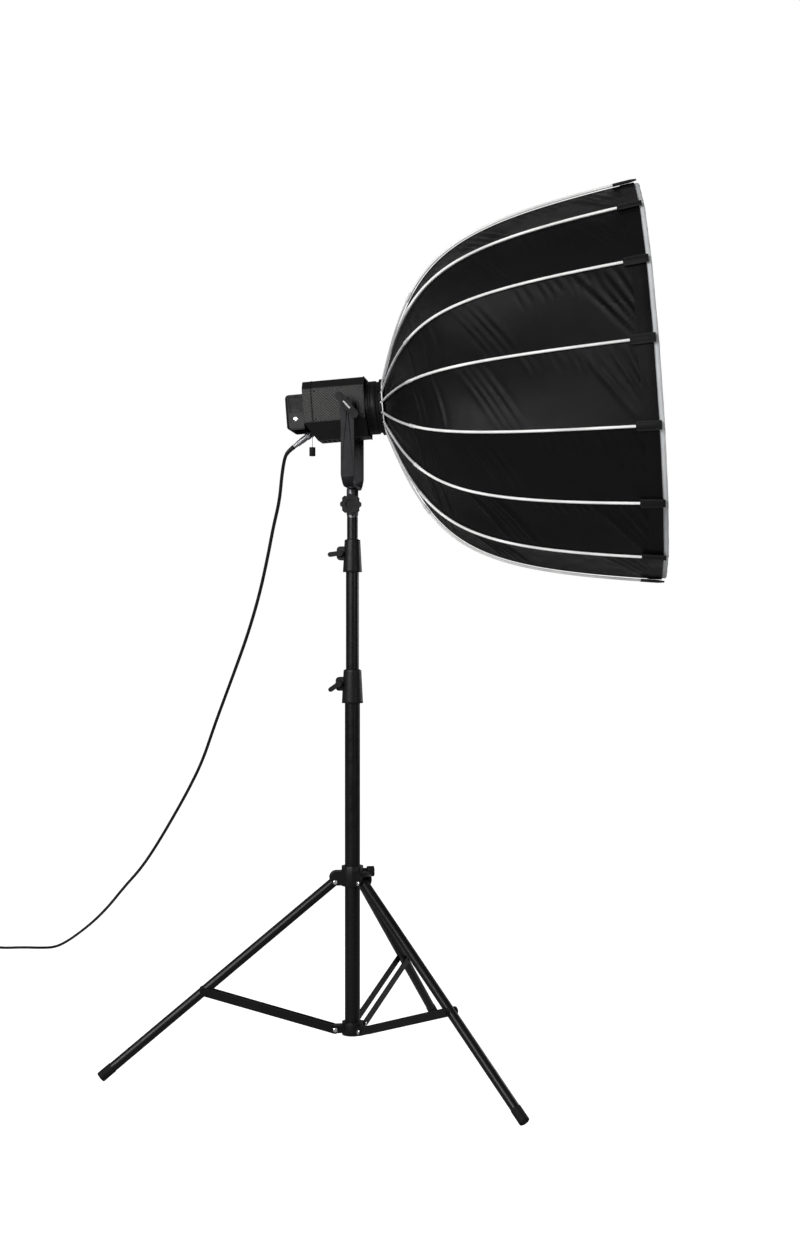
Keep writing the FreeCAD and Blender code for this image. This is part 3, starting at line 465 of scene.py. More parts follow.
CONNECTOR = brushed("connector_metal", (0.22, 0.22, 0.23), 0.36, (400, 400, 400))
CABLE_RUBBER = black("cable_rubber", 0.006, 0.42, grain=900, depth=0.00004)
LED_BOARD = coated("led_board", (0.55, 0.42, 0.10), 0.5, grain=600, depth=0.00004)


# ---- mesh helpers ----

def new_piece(name, points, faces, materials, body, slot="", face_material=None, uv=None, smooth=40.0):
    """A mesh piece that rides on a body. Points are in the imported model's frame."""
    mesh = bpy.data.meshes.new(name)
    mesh.from_pydata([tuple(p) for p in points], [], faces)
    for material in materials:
        mesh.materials.append(material)
    if face_material:
        mesh.polygons.foreach_set("material_index", face_material)
    if uv:
        layer = mesh.uv_layers.new(name="metres")
        for loop in mesh.loops:
            layer.data[loop.index].uv = uv[loop.vertex_index]
    mesh.validate()
    mesh.shade_smooth()
    mesh.set_sharp_from_angle(angle=radians(smooth))
    piece = put(name, mesh)
    if body:
        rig.ride(piece, body)
    if slot:
        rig.slot(piece, slot)
    return piece


def frames_along(points):
    """For each point of a line, two unit vectors across it that don't twist."""
    tangents = [(b - a).normalized() for a, b in zip(points[:1] + points[:-1], points[1:] + points[-1:])]
    across = tangents[0].orthogonal().normalized()
    frames = []
    for tangent in tangents:
        across = (across - tangent * across.dot(tangent)).normalized()
        frames.append((across, tangent.cross(across)))
    return frames


def angles(sides):
    """Evenly spaced angles of one turn."""
    return [2 * pi * n / sides for n in range(sides)]


def loft(rings, closed_ends=True):
    """Faces that join rings of equally many points, as (points, faces)."""
    sides = len(rings[0])
    points = [p for ring in rings for p in ring]
    faces = []
    for r in range(len(rings) - 1):
        for s in range(sides):
            t = (s + 1) % sides
            faces.append((r * sides + s, r * sides + t, (r + 1) * sides + t, (r + 1) * sides + s))
    if closed_ends:
        faces.append(tuple(range(sides))[::-1])
        faces.append(tuple((len(rings) - 1) * sides + s for s in range(sides)))
    return points, faces


def tube_shape(points, radii, sides=12):
    rings = []
    for point, (across, up), radius in zip(points, frames_along(points), radii):
        rings.append([point + (across * cos(angle) + up * sin(angle)) * radius for angle in angles(sides)])
    return loft(rings)


def smooth_curve(name, points):
    """Curve data with the points as control points; it starts and ends on the first and last of them."""
    curve = bpy.data.curves.new(name, "CURVE")
    curve.dimensions, curve.resolution_u = "3D", 12
    spline = curve.splines.new("NURBS")
    spline.points.add(len(points) - 1)
    for control, point in zip(spline.points, points):
        control.co = (*point, 1)
    spline.order_u = 3
    spline.use_endpoint_u = True
    return curve


# ---- cable ----

CUT_NORMAL = Vector((-39.5, 0, -25)).normalized()
SOCKET_BASE = Vector((-0.105 + 0.025 * 15.5 / 39.5, 0, -0.0435))
SOCKET_AND_PLUG = 0.009 + 0.046
COIL_CENTRE = MAST + Vector((-1.352, 1.290, -MAST.z))
COIL_RADII = (0.048, 0.040)
COIL_TURN_POINTS = 16
PLUG_ABOVE_COIL, LAST_BEND = 0.032, 0.036
# Control points from below the plug to the coil, measured from the mast's foot.
ROUTE = [
    (-0.159, 0.007, 1.411), (-0.168, 0.021, 1.372), (-0.177, 0.041, 1.313), (-0.197, 0.069, 1.252),
    (-0.216, 0.098, 1.180), (-0.243, 0.136, 1.092), (-0.279, 0.184, 1.002), (-0.317, 0.236, 0.924),
    (-0.355, 0.290, 0.850), (-0.398, 0.349, 0.765), (-0.440, 0.407, 0.674), (-0.495, 0.482, 0.590),
    (-0.560, 0.573, 0.503), (-0.622, 0.658, 0.423), (-0.688, 0.748, 0.346), (-0.766, 0.857, 0.275),
    (-0.838, 0.956, 0.203), (-0.908, 1.053, 0.143), (-0.981, 1.153, 0.089), (-1.052, 1.247, 0.041),
    (-1.107, 1.305, 0.012), (-1.162, 1.333, 0.004), (-1.219, 1.336, 0.004), (-1.279, 1.318, 0.004),
    (-1.316, 1.339, 0.004),
]


def eased(share):
    """0 to 1 with a soft start and end."""
    share = min(1.0, max(0.0, share))
    return share * share * (3 - 2 * share)


def coil_turns():
    """Five and a quarter turns, side by side in three layers, that climb towards the end plug."""
    layers = [(0, 0), (1, 0), (1, 1), (0, 1), (0, 2), (1, 2)]
    points = []
    for turn, (ring, layer) in enumerate(layers):
        after_ring, after_layer = layers[min(turn + 1, 5)]
        last = turn == 5
        for n in range(COIL_TURN_POINTS // 4 + 1 if last else COIL_TURN_POINTS):
            share = max(0.0, n / COIL_TURN_POINTS - 0.75) * 4
            radius = COIL_RADII[ring] + (COIL_RADII[after_ring] - COIL_RADII[ring]) * share
            height = CABLE_R * (1 + 2 * (layer + (after_layer - layer) * share))
            if last:    # it climbs off the coil, then moves out over it
                radius += 0.0068 * eased((n - 1.8) / 2.8)
                height += (PLUG_ABOVE_COIL - height) * eased(n / 5.5)
            angle = pi / 2 + 2 * pi * n / COIL_TURN_POINTS
            way = Vector((radius * cos(angle), radius * sin(angle), height))
            points.append(COIL_CENTRE + way)
    return points


def cable_line():
    """The cable's whole centreline, from the plug on the lamp to the one on the coil."""
    start = LAMP @ (SOCKET_BASE + CUT_NORMAL * (SOCKET_AND_PLUG + 0.0003))
    out = LAMP_TURN @ CUT_NORMAL
    foot = Vector((MAST.x, MAST.y, 0))
    plug_y = -sum(COIL_RADII) / 2
    into_plug = COIL_CENTRE + Vector((-0.011, plug_y, PLUG_ABOVE_COIL))
    points = [start, start + out * 0.016] + [foot + Vector(p) for p in ROUTE] + coil_turns()
    for degrees in (180, 202.5, 225, 247.5):    # the last bend, into the end plug
        way = Vector((cos(radians(degrees)), sin(radians(degrees)), 0))
        points.append(into_plug + Vector((0, LAST_BEND, 0)) + way * LAST_BEND)
    points += [into_plug - Vector((0.006, 0, 0)), into_plug]
    guide = bpy.data.objects.new("cable_route", smooth_curve("cable_route", points))
    line = [v.co.copy() for v in bpy.data.meshes.new_from_object(guide).vertices]
    bpy.data.objects.remove(guide)
    return line


def along_line(line, distance):
    """The point of a line at a distance from its start."""
    for a, b in zip(line, line[1:]):
        step = (b - a).length
        if distance <= step:
            return a.lerp(b, distance / step)
        distance -= step
    return line[-1]


def relief_shape(line):
    """Tapered, ribbed rubber round the cable's first 26 mm."""
    profile = [(0.0, 0.0050)]
    for n in range(6):
        at, rib = 0.001 + 0.0040 * n, 0.0057 - 0.0002 * n
        groove = rib - 0.0008
        profile += [(at, rib), (at + 0.0023, rib), (at + 0.0027, groove), (at + 0.0036, groove)]
    profile += [(0.0255, 0.0044), (0.0262, 0.00405)]
    return tube_shape([along_line(line, at) for at, _ in profile], [radius for _, radius in profile], 20)


def add_cable():
    """One cable in four declared lengths, so that each can bend where a joint of the stand moves it."""
    line = cable_line()
    relief = new_piece("plug_relief", *relief_shape(line), [CABLE_RUBBER], None, "cable_rubber")
    heights = (1.26, 1.02, 0.62)
    cuts = [0] + [next(i for i, p in enumerate(line) if p.z < h) for h in heights] + [len(line) - 1]
    bodies = ["lamp", "yoke", "top_mast", "mid_mast", "column"]
    for n in range(4):
        part = line[cuts[n]:cuts[n + 1] + 1]
        shape = tube_shape(part, [CABLE_R] * len(part))
        piece = new_piece(f"power_cable_{n + 1}", *shape, [CABLE_RUBBER], None, "cable_rubber")
        settle = part[-1] if n < 3 else next(p for p in part if p.z < 0.05)
        start, end = part[0].lerp(part[1], 0.5), settle
        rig.blend(piece, bodies[n], bodies[n + 1], start, end)
        if n == 0:
            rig.blend(relief, bodies[0], bodies[1], start, end)
        length = sum((b - a).length for a, b in zip(part, part[1:]))
        last = n == 3
        pieces = {0: ["cable_plug", "plug_relief"], 3: ["cable_end_plug"]}.get(n, [])
        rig.cord(
            piece, exit=part[0], length=length, diameter=2 * CABLE_R,
            far_end="connector" if last else "object", stiffness="medium",
            lay="coiled" if last else "hanging", path=part, with_pieces=pieces,
        )
        if last:
            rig.replaces(piece, "cable_coil")
        else:
            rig.replaces(piece, "power_cable")


add_cable()


# ---- softbox: curves ----

ROWS = 270    # rows of the canopy from the speed ring to the rim, evenly spaced
SKIN_INWARD = ((0.949, -0.314), (0.86, -0.51), (0.42, -0.91), (0.0, -1.0))
SKIN_OFFSET = 0.005
CENTRE_OF_FOLD = RIB_CURVE[0]
FOLD = radians(32)


def curve_at(points, share):
    """A point (along the axis, out from it) of a cubic Bezier curve."""
    rest = 1 - share
    weights = (rest ** 3, 3 * share * rest ** 2, 3 * share ** 2 * rest, share ** 3)
    return tuple(sum(w * p[axis] for w, p in zip(weights, points)) for axis in (0, 1))


def even_shares(points, count):
    """Shares of a curve that divide its length evenly, and that length."""
    fine = 2000
    line = [curve_at(points, n / fine) for n in range(fine + 1)]
    run = [0.0]
    for a, b in zip(line, line[1:]):
        run.append(run[-1] + dist(a, b))
    shares, n = [], 0
    for row in range(count + 1):
        while n < fine and run[n] < run[-1] * row / count:
            n += 1
        shares.append(n / fine)
    return shares, run[-1]


SKIN = [(x + SKIN_OFFSET * dx, r + SKIN_OFFSET * dr) for (x, r), (dx, dr) in zip(RIB_CURVE, SKIN_INWARD)]
SHARES, SKIN_LENGTH = even_shares(SKIN, ROWS)
PROFILE = [curve_at(SKIN, s) for s in SHARES]


def profile_normal(row):
    (x0, r0), (x1, r1) = PROFILE[max(row - 1, 0)], PROFILE[min(row + 1, ROWS)]
    size = hypot(x1 - x0, r1 - r0)
    return (r0 - r1) / size, (x1 - x0) / size


def rib_line(phase, first, last, count):
    """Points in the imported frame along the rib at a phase, between two shares of its curve."""
    line = []
    for n in range(count + 1):
        x, r = curve_at(RIB_CURVE, first + (last - first) * n / count)
        line.append(from_axis(x, out_at(phase), r))
    return line


def folded_ratio(row):
    """How much narrower the canopy is at this row when the ribs are folded right in."""
    x, r = PROFILE[row]
    dx, dr = x - CENTRE_OF_FOLD[0], r - CENTRE_OF_FOLD[1]
    return (CENTRE_OF_FOLD[1] + dr * cos(FOLD) - dx * sin(FOLD)) / r


# ---- softbox: canopy ----

def gore_seeds():
    """For each gore, its folds from a fixed seed: (u, run) of both ends, half width and height."""
    dice = random.Random(11)
    seeds = []
    for _ in range(RIBS):
        folds = []
        first, slant = dice.uniform(0.40, 0.46), dice.uniform(0.12, 0.15)
        for n in range(4):    # tension folds that cross the gore on the bias
            start = first + 0.026 * n + dice.uniform(-0.005, 0.005)
            height = dice.uniform(0.0022, 0.0042)
            folds.append((1.02, start, -0.02, start + slant, dice.uniform(0.0042, 0.0058), height))
        for n in range(3):    # weaker ones nearer the speed ring
            start, half_width = dice.uniform(0.22, 0.36), dice.uniform(0.004, 0.005)
            folds.append((1.02, start, -0.02, start + 0.05, half_width, dice.uniform(0.0010, 0.0019)))
        for n in range(9):    # short gathers along the upper rib
            start = 0.64 + 0.027 * n + dice.uniform(-0.006, 0.006)
            end = dice.uniform(0.62, 0.8)
            folds.append((1.03, start - 0.004, end, start + 0.03, 0.0036, dice.uniform(0.0012, 0.0022)))
        for n in range(4):    # long ones that sweep from the upper rib to the rim
            start = 0.80 + 0.037 * n + dice.uniform(-0.01, 0.01)
            end_u, end, half_width = 0.04 + 0.05 * n, 0.955 + 0.014 * n, dice.uniform(0.0045, 0.0065)
            folds.append((1.03, start, end_u, end, half_width, dice.uniform(0.0021, 0.0039)))
        for n in range(2):    # gathers just outside the speed ring
            u = dice.uniform(0.2, 0.8)
            folds.append((u, 0.03, u + dice.uniform(-0.1, 0.1), 0.26, dice.uniform(0.004, 0.006), 0.0006))
        seeds.append(folds)
    return seeds


GORE_FOLDS = gore_seeds()


def lift_of(gore, u, row):
    """How far the cloth stands out from the flat gore: it sags between ribs and has soft tension folds."""
    share = row / ROWS
    width = STEP * PROFILE[row][1]
    bow = max(0.0, sin(pi * u))
    held = min(1.0, 4 * bow)    # the ribs hold the cloth at both sides
    total = -0.006 * bow * sin(pi * min(1.0, share * 1.02)) ** 1.2
    for u0, run0, u1, run1, half_width, height in GORE_FOLDS[gore]:
        ax, ay = (u1 - u0) * width, (run1 - run0) * SKIN_LENGTH
        px, py = (u - u0) * width, (share - run0) * SKIN_LENGTH
        length = hypot(ax, ay)
        t = (px * ax + py * ay) / length ** 2
        if not 0 < t < 1:
            continue
        off = (px * ay - py * ax) / length
        near = abs(off) / half_width
        if near > 5:
            continue
        fade = sin(pi * t) ** 0.6
        hollow = 0.45 * exp(-((off / half_width - 1.9) / 1.3) ** 2)
        total += height * held * fade * (exp(-near ** 2) - hollow)
    return total


def skin_point(rib, u, row):
    """A point of the canopy, u gores from a rib (-0.5 to 0.5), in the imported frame."""
    gore = rib if u >= 0 else rib - 1
    share = u if u >= 0 else u + 1
    x, r = PROFILE[row]
    a, b = gore_sides(gore)
    nx, nr = profile_normal(row)
    lift = lift_of(gore % RIBS, share, row)
    middle_out = (a + b).normalized()
    return LAMP @ (Vector((x + nx * lift, 0, 0)) + a.lerp(b, share) * r + middle_out * nr * lift)


SIDE = (0.012, 0.04, 0.08, 0.13, 0.18, 0.23, 0.28, 0.33, 0.38, 0.42, 0.46, 0.5)
COLUMNS = [-u for u in reversed(SIDE)] + [0.0] + list(SIDE)
LEAST_SHARE = 0.31    # of its flat width times length, that a band's area is said to be


def band_limits():
    """Rows that split the canopy where it narrows by even steps, so that each band can fold on its own."""
    knuckle = next(row for row in range(ROWS) if SHARES[row] > KNUCKLE)
    first, last = folded_ratio(knuckle), folded_ratio(ROWS)
    limits = [0, knuckle]
    for n in range(1, 4):
        wanted = first + (last - first) * n / 4
        limits.append(next(row for row in range(knuckle, ROWS) if folded_ratio(row) < wanted))
    return limits + [ROWS]


def grid_faces(rows, columns):
    return [
        (r * columns + c, (r + 1) * columns + c, (r + 1) * columns + c + 1, r * columns + c + 1)
        for r in range(rows - 1) for c in range(columns - 1)
    ]


def cloth_area(points, faces):
    total = 0.0
    for a, b, c, d in (tuple(points[i] for i in face) for face in faces):
        total += ((c - a).cross(d - b)).length / 2
    return total


def fold_with_rib(piece, rib, keep):
    """Narrows a piece of cloth towards its rib as the ribs fold."""
    phase = rib_phase(rib)
    on_rib = from_axis(0.3, out_at(phase), 0.3)
    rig.squash(piece, "rib_01_fold", LAMP_TURN @ along_at(phase), on_rib, keep)


def thicken(piece, thickness, offset, lining):
    """Gives a sheet its thickness. The new side's material is lining slots further on."""
    thick = piece.modifiers.new("thickness", "SOLIDIFY")
    thick.thickness, thick.offset, thick.material_offset, thick.use_rim = thickness, offset, lining, False


def add_canopy(hems):
    """Each gore in bands that fold on their own; the last band carries the hem."""
    limits = band_limits()
    for rib in range(RIBS):
        body = rib_body(rib)
        for band, (low, high) in enumerate(zip(limits, limits[1:])):
            rows = range(low, high + 1)
            points = [skin_point(rib, u, row) for row in rows for u in COLUMNS]
            faces = grid_faces(len(rows), len(COLUMNS))
            uv = [(STEP * PROFILE[row][1] * u, SKIN_LENGTH * row / ROWS) for row in rows for u in COLUMNS]
            piece = new_piece(
                f"canopy_{rib + 1:02d}_{band + 1}", points, faces, [BLACK_FABRIC, SILVER_LINING],
                body, "canopy_fabric", uv=uv,
            )
            thicken(piece, 0.0008, -1, 1)
            keep = (folded_ratio(low) + folded_ratio(high)) / 2 if band else 0.85
            fold_with_rib(piece, rib, keep)
            wide = STEP * max(PROFILE[row][1] for row in rows)
            long = SKIN_LENGTH * (high - low) / ROWS
            area = min(cloth_area(points, faces), wide * long)
            last = band == len(limits) - 2
            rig.sheet(
                piece, flat=(wide, long), held="stretched", rests_on=[body],
                area=max(area, LEAST_SHARE * wide * long), with_pieces=[hems[rib]] if last else [],
            )
            if rib == 0 and band == 0:
                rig.replaces(piece, "canopy_skin")


# ---- softbox: ribs, pockets and diffuser ----

def joined(shapes):
    """Several (points, faces) as one. A third entry is a material's number, which else is 0."""
    points, faces, numbers = [], [], []
    for more_points, more_faces, *number in shapes:
        start = len(points)
        points += more_points
        faces += [tuple(i + start for i in face) for face in more_faces]
        numbers += (number or [0]) * len(more_faces)
    return points, faces, numbers


def new_joined(name, shapes, materials, body, slot, smooth=40.0):
    """Several shapes as one piece."""
    points, faces, numbers = joined(shapes)
    return new_piece(name, points, faces, materials, body, slot, numbers, smooth=smooth)


def bar_shape(line, across, half_across, half_up):
    """A bar with an eight-sided section, which has the corners cut, along a line."""
    flat = 0.65
    half = [(1, -flat), (1, flat), (flat, 1), (-flat, 1)]
    section = half + [(-a, -b) for a, b in half]
    rings = []
    for n, point in enumerate(line):
        tangent = (line[min(n + 1, len(line) - 1)] - line[max(n - 1, 0)]).normalized()
        up = tangent.cross(across).normalized()
        rings.append([point + across * a * half_across + up * b * half_up for a, b in section])
    return loft(rings)


def pocket_shape(line, across):
    """A flat cloth sleeve that bulges over the rod in it and is sewn shut past the rim."""
    half_width, count = 0.011, len(line) - 1
    rings = []
    for n, point in enumerate(line):
        t = n / count
        tangent = (line[min(n + 1, count)] - line[max(n - 1, 0)]).normalized()
        up = tangent.cross(across).normalized()
        width = half_width * (0.94 + 0.06 * sin(pi * t)) * (1 - 0.1 * max(0, t - 0.9) * 10)
        edge, bulge = 0.0011, 0.0036 * (1 - 0.45 * max(0, t - 0.75) * 4)
        ring = []
        for angle in angles(28):
            a = width * copysign(abs(cos(angle)) ** 0.7, cos(angle))
            thick = edge + (bulge - edge) * exp(-(a / 0.0048) ** 2)
            b = copysign(min(1, abs(sin(angle)) * 2.2), sin(angle)) * thick
            ring.append(point + across * a + up * b)
        rings.append(ring)
    return loft(rings)


def stitch_row(start, end, up, spacing=0.0035):
    """Short raised stitches between two points."""
    size = 0.0005
    count = max(1, int((end - start).length / spacing))
    along = (end - start) / count
    shapes = []
    for n in range(count):
        a = start + along * (n + 0.15)
        b = start + along * (n + 0.8)
        middle = (a + b) / 2 + up * size
        shapes.append((*tube_shape([a, middle, b], [size * 0.5, size, size * 0.5], 6), 1))
    return shapes


def add_ribs():
    thread = coated("thread_black", (0.03, 0.03, 0.03), 0.6, grain=600, depth=0.00004)
    for rib in range(RIBS):
        phase, body = rib_phase(rib), rib_body(rib)
        across = LAMP_TURN @ along_at(phase)
        arm = rib_line(phase, 0.0, KNUCKLE + 0.02, 24)
        rod = rib_line(phase, KNUCKLE, POCKET + 0.012, 56)
        sleeve = rib_line(phase, KNUCKLE - 0.012, KNUCKLE + 0.03, 10)
        collar_radii = [0.0029, 0.0036, 0.004, 0.004, 0.0036, 0.0036, 0.0036, 0.004, 0.004, 0.0037, 0.0031]
        eye = [arm[0] + across * d for d in (-0.0025, -0.0022, 0.0022, 0.0025)]
        shapes = [
            (*bar_shape(arm, across, 0.0024, 0.0021), 1),
            tube_shape(rod, [0.003] * len(rod), 14),
            (*tube_shape(sleeve, collar_radii, 14), 2),
            tube_shape(eye, [0.0027, 0.0032, 0.0032, 0.0027], 18),
        ]
        materials = [ROD_WHITE, ARM_GREY, CLIP_GREY]
        frame_piece = new_joined(f"rib_frame_{rib + 1:02d}", shapes, materials, body, "rib_white")
        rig.replaces(frame_piece, body)
        line = rib_line(phase, POCKET, 1.0, 22)
        along = (line[-1] - line[-2]).normalized()
        line += [line[-1] + along * 0.003, line[-1] + along * 0.0055]
        shapes = [pocket_shape(line, across)]
        up = along.cross(across).normalized()
        if up.dot(LAMP_TURN @ out_at(phase)) < 0:
            up = -up
        for side in (-1, 1):
            edge = across * side * 0.0088
            shapes += stitch_row(line[1] + edge + up * 0.0012, line[-3] + edge + up * 0.0012, up)
        for place in (line[2], line[-4]):
            for outer, inner in ((-0.0085, -0.0045), (0.0045, 0.0085)):
                outer_up, inner_up = (0.002, 0.0024) if outer < 0 else (0.0024, 0.002)
                row = place + across * outer + up * outer_up, place + across * inner + up * inner_up
                shapes += stitch_row(*row, up, 0.0025)
        new_joined(f"rib_pocket_{rib + 1:02d}", shapes, [WEBBING, thread], body, "canopy_fabric")


RIM_X, RIM_R = PROFILE[-1]
FRONT_X, FRONT_R = 0.683, 0.4415    # the front cloth's plane and radius


def add_hem(name, section, materials, slot):
    """A band round the rim, one length on each rib. section lists its (x, r) edge points."""
    lengths = []
    for rib in range(RIBS):
        rings = []
        for u in COLUMNS:
            gore = rib if u >= 0 else rib - 1
            a, b = gore_sides(gore)
            way = a.lerp(b, u if u >= 0 else u + 1)
            rings.append([from_axis(x, way, r) for x, r in section])
        uv = [(STEP * RIM_R * u, 0.002 * n) for u in COLUMNS for n in range(len(section))]
        piece = new_piece(f"{name}_{rib + 1:02d}", *loft(rings), materials, rib_body(rib), slot, uv=uv)
        fold_with_rib(piece, rib, folded_ratio(ROWS))
        lengths.append(piece)
    return lengths


def add_diffuser(edges):
    """The front cloth as narrow wedges that draw in to the axis as the ribs fold."""
    wedges, rows, columns = 2 * RIBS, 30, 9
    for wedge in range(wedges):
        gore, half = divmod(wedge, 2)
        a, b = gore_sides(gore)
        points, uv = [], []
        for row in range(rows + 1):
            share = 0.004 + 0.996 * row / rows
            for column in range(columns):
                u = (half + column / (columns - 1)) / 2
                way = a.lerp(b, u)
                sag = 0.0035 * sin(pi * share)
                sag += 0.0012 * sin(2 * pi * u * 3) * share ** 6
                points.append(LAMP @ (Vector((FRONT_X - 0.0016 - sag, 0, 0)) + way * FRONT_R * share))
                uv.append((way.y * FRONT_R * share, way.z * FRONT_R * share))
        faces = grid_faces(rows + 1, columns)
        piece = new_piece(
            f"diffuser_{wedge + 1:02d}", points, faces, [WHITE_CLOTH], "softbox", "diffuser_fabric", uv=uv,
        )
        thicken(piece, 0.0007, 0, 0)
        way = LAMP_TURN @ (a.lerp(b, (half + 0.5) / 2)).normalized()
        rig.squash(piece, "rib_01_fold", way, LAMP @ Vector((FRONT_X, 0, 0)), 0.15)
        wide, long = STEP / 2 * FRONT_R, FRONT_R
        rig.sheet(
            piece, flat=(wide, long), held="stretched", area=wide * long * 0.5,
            with_pieces=[] if half else [edges[gore]],
        )
        if wedge == 0:
            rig.replaces(piece, "front_diffuser")


HEMS = add_hem("rim_hem", [
    (RIM_X - 0.031, RIM_R - 0.0044), (RIM_X - 0.031, RIM_R - 0.0032), (RIM_X - 0.016, RIM_R - 0.0012),
    (RIM_X - 0.001, RIM_R + 0.0005), (RIM_X + 0.0006, RIM_R), (RIM_X - 0.001, RIM_R - 0.0010),
], [BLACK_FABRIC], "canopy_fabric")
# These edge lengths wear the grey cloth, which is painted shade on white cloth.
CLOTH_EDGES = add_hem("front_cloth_edge_painted_shade", [
    (RIM_X - 0.020, RIM_R - 0.0030), (RIM_X + 0.002, RIM_R - 0.0022), (FRONT_X - 0.005, RIM_R - 0.0014),
    (FRONT_X - 0.0015, RIM_R - 0.0030), (FRONT_X, RIM_R - 0.0065), (FRONT_X - 0.0012, RIM_R - 0.0085),
    (FRONT_X - 0.004, RIM_R - 0.0055), (RIM_X + 0.002, RIM_R - 0.0036),
], [PAINTED_SHADE_CLOTH_EDGE], "diffuser_fabric")
add_canopy(HEMS)
add_ribs()
add_diffuser(CLOTH_EDGES)


# ---- small shapes ----

def rounded_rectangle(x, y, radius):
    steps = 5
    corners = [(x[1] - radius, y[1] - radius, 0), (x[0] + radius, y[1] - radius, 1),
               (x[0] + radius, y[0] + radius, 2), (x[1] - radius, y[0] + radius, 3)]
    points = []
    for cx, cy, quarter in corners:
        for n in range(steps + 1):
            angle = pi / 2 * (quarter + n / steps)
            points.append((cx + radius * cos(angle), cy + radius * sin(angle)))
    return points


def circle(radius):
    return [(radius * cos(angle), radius * sin(angle)) for angle in angles(40)]


def plate_shape(outlines, thickness, bevel, place):
    """A flat plate with holes and soft edges. place maps (across, up, out) to a point; out runs from 0."""
    curve = bpy.data.curves.new("outline", "CURVE")
    curve.dimensions, curve.fill_mode = "2D", "BOTH"
    curve.extrude, curve.bevel_depth, curve.bevel_resolution = thickness / 2 - bevel, bevel, 1
    for outline in outlines:
        spline = curve.splines.new("POLY")
        spline.points.add(len(outline) - 1)
        for control, (x, y) in zip(spline.points, outline):
            control.co = (x, y, 0, 1)
        spline.use_cyclic_u = True
    guide = bpy.data.objects.new("outline", curve)
    mesh = bpy.data.meshes.new_from_object(guide)
    points = [place(v.co.x, v.co.y, v.co.z + thickness / 2) for v in mesh.vertices]
    faces = [tuple(p.vertices) for p in mesh.polygons]
    bpy.data.objects.remove(guide)
    a, b, c = (place(*axis) - place(0, 0, 0) for axis in ((1, 0, 0), (0, 1, 0), (0, 0, 1)))
    if a.cross(b).dot(c) < 0:
        faces = [face[::-1] for face in faces]
    return points, faces


def turned_shape(base, direction, profile, sides, flute=0.0, flutes=0):
    """A profile of (along, radius) turned round an axis. Its widest rows get flutes that are flute deep."""
    across = direction.orthogonal().normalized()
    up = direction.cross(across)
    widest = max(r for _, r in profile)
    rings = []
    for along, radius in profile:
        ring = []
        for angle in angles(sides):
            cut = flute * (0.5 + 0.5 * cos(flutes * angle)) if radius > widest * 0.97 else 0.0
            way = across * cos(angle) + up * sin(angle)
            ring.append(base + direction * along + way * (radius - cut))
        rings.append(ring)
    return loft(rings)


def socket_screw(base, direction, radius, height):
    """A domed screw head with a six-sided socket."""
    across = direction.orthogonal().normalized()
    up = direction.cross(across)
    head = [(0, 1.0), (0.25, 1.0), (0.6, 0.93), (0.88, 0.72), (1.0, 0.5)]
    socket = [(0.98, 0.44), (0.45, 0.42)]
    rings = []
    for along, share in head + socket:
        ring = []
        for angle in angles(24):
            hexed = cos(pi / 6) / cos((angle % (pi / 3)) - pi / 6)
            if (along, share) not in socket:
                hexed = 1.0
            ring.append(base + direction * height * along
                        + (across * cos(angle) + up * sin(angle)) * radius * share * hexed)
        rings.append(ring)
    return loft(rings)


def lamp_side(side):
    """Maps (along the lamp, up, out of its side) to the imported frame."""
    def place(start):
        return lambda x, z, out: LAMP @ Vector((x, side * (start + out), z))
    return place



# ---- lamp head ----

def carbon_weave():
    """Twill-woven carbon under a clear coat: bands of thread that cross on the diagonal."""
    m = Nodes("carbon_weave", (0.04, 0.039, 0.037), 0.42, Specular_IOR_Level=0.2)
    turned = m.stretched((1, 1, 1), turn=(0, TILT_UP + radians(45), 0))
    bands = []
    for axis in ("X", "Z"):
        wave = m.add("ShaderNodeTexWave", bands_direction=axis, wave_profile="SIN")
        wave.inputs["Scale"].default_value = 68
        wave.inputs["Distortion"].default_value = 0.25
        m.link(turned, wave.inputs["Vector"])
        bands.append(wave.outputs["Fac"])
    twill = m.add("ShaderNodeMath", operation="MULTIPLY")
    m.link(bands[0], twill.inputs[0])
    m.link(m.ramp(bands[1], 0.55, 1.0, 0, 1), twill.inputs[1])
    m.colour(m.ramp(twill.outputs[0], (0.003, 0.003, 0.003), (0.038, 0.036, 0.034), 0.15, 0.8))
    m.roughness(m.ramp(twill.outputs[0], 0.5, 0.28, 0, 1))
    m.bump(twill.outputs[0], 0.00025, 0.7)
    return m.material


# Half widths of the housing's sides, the handle's lower part and its ears, where plates lie on them.
HOUSING_SIDE, HANDLE_SIDE, EAR_SIDE = 0.0618, 0.0499, 0.0481


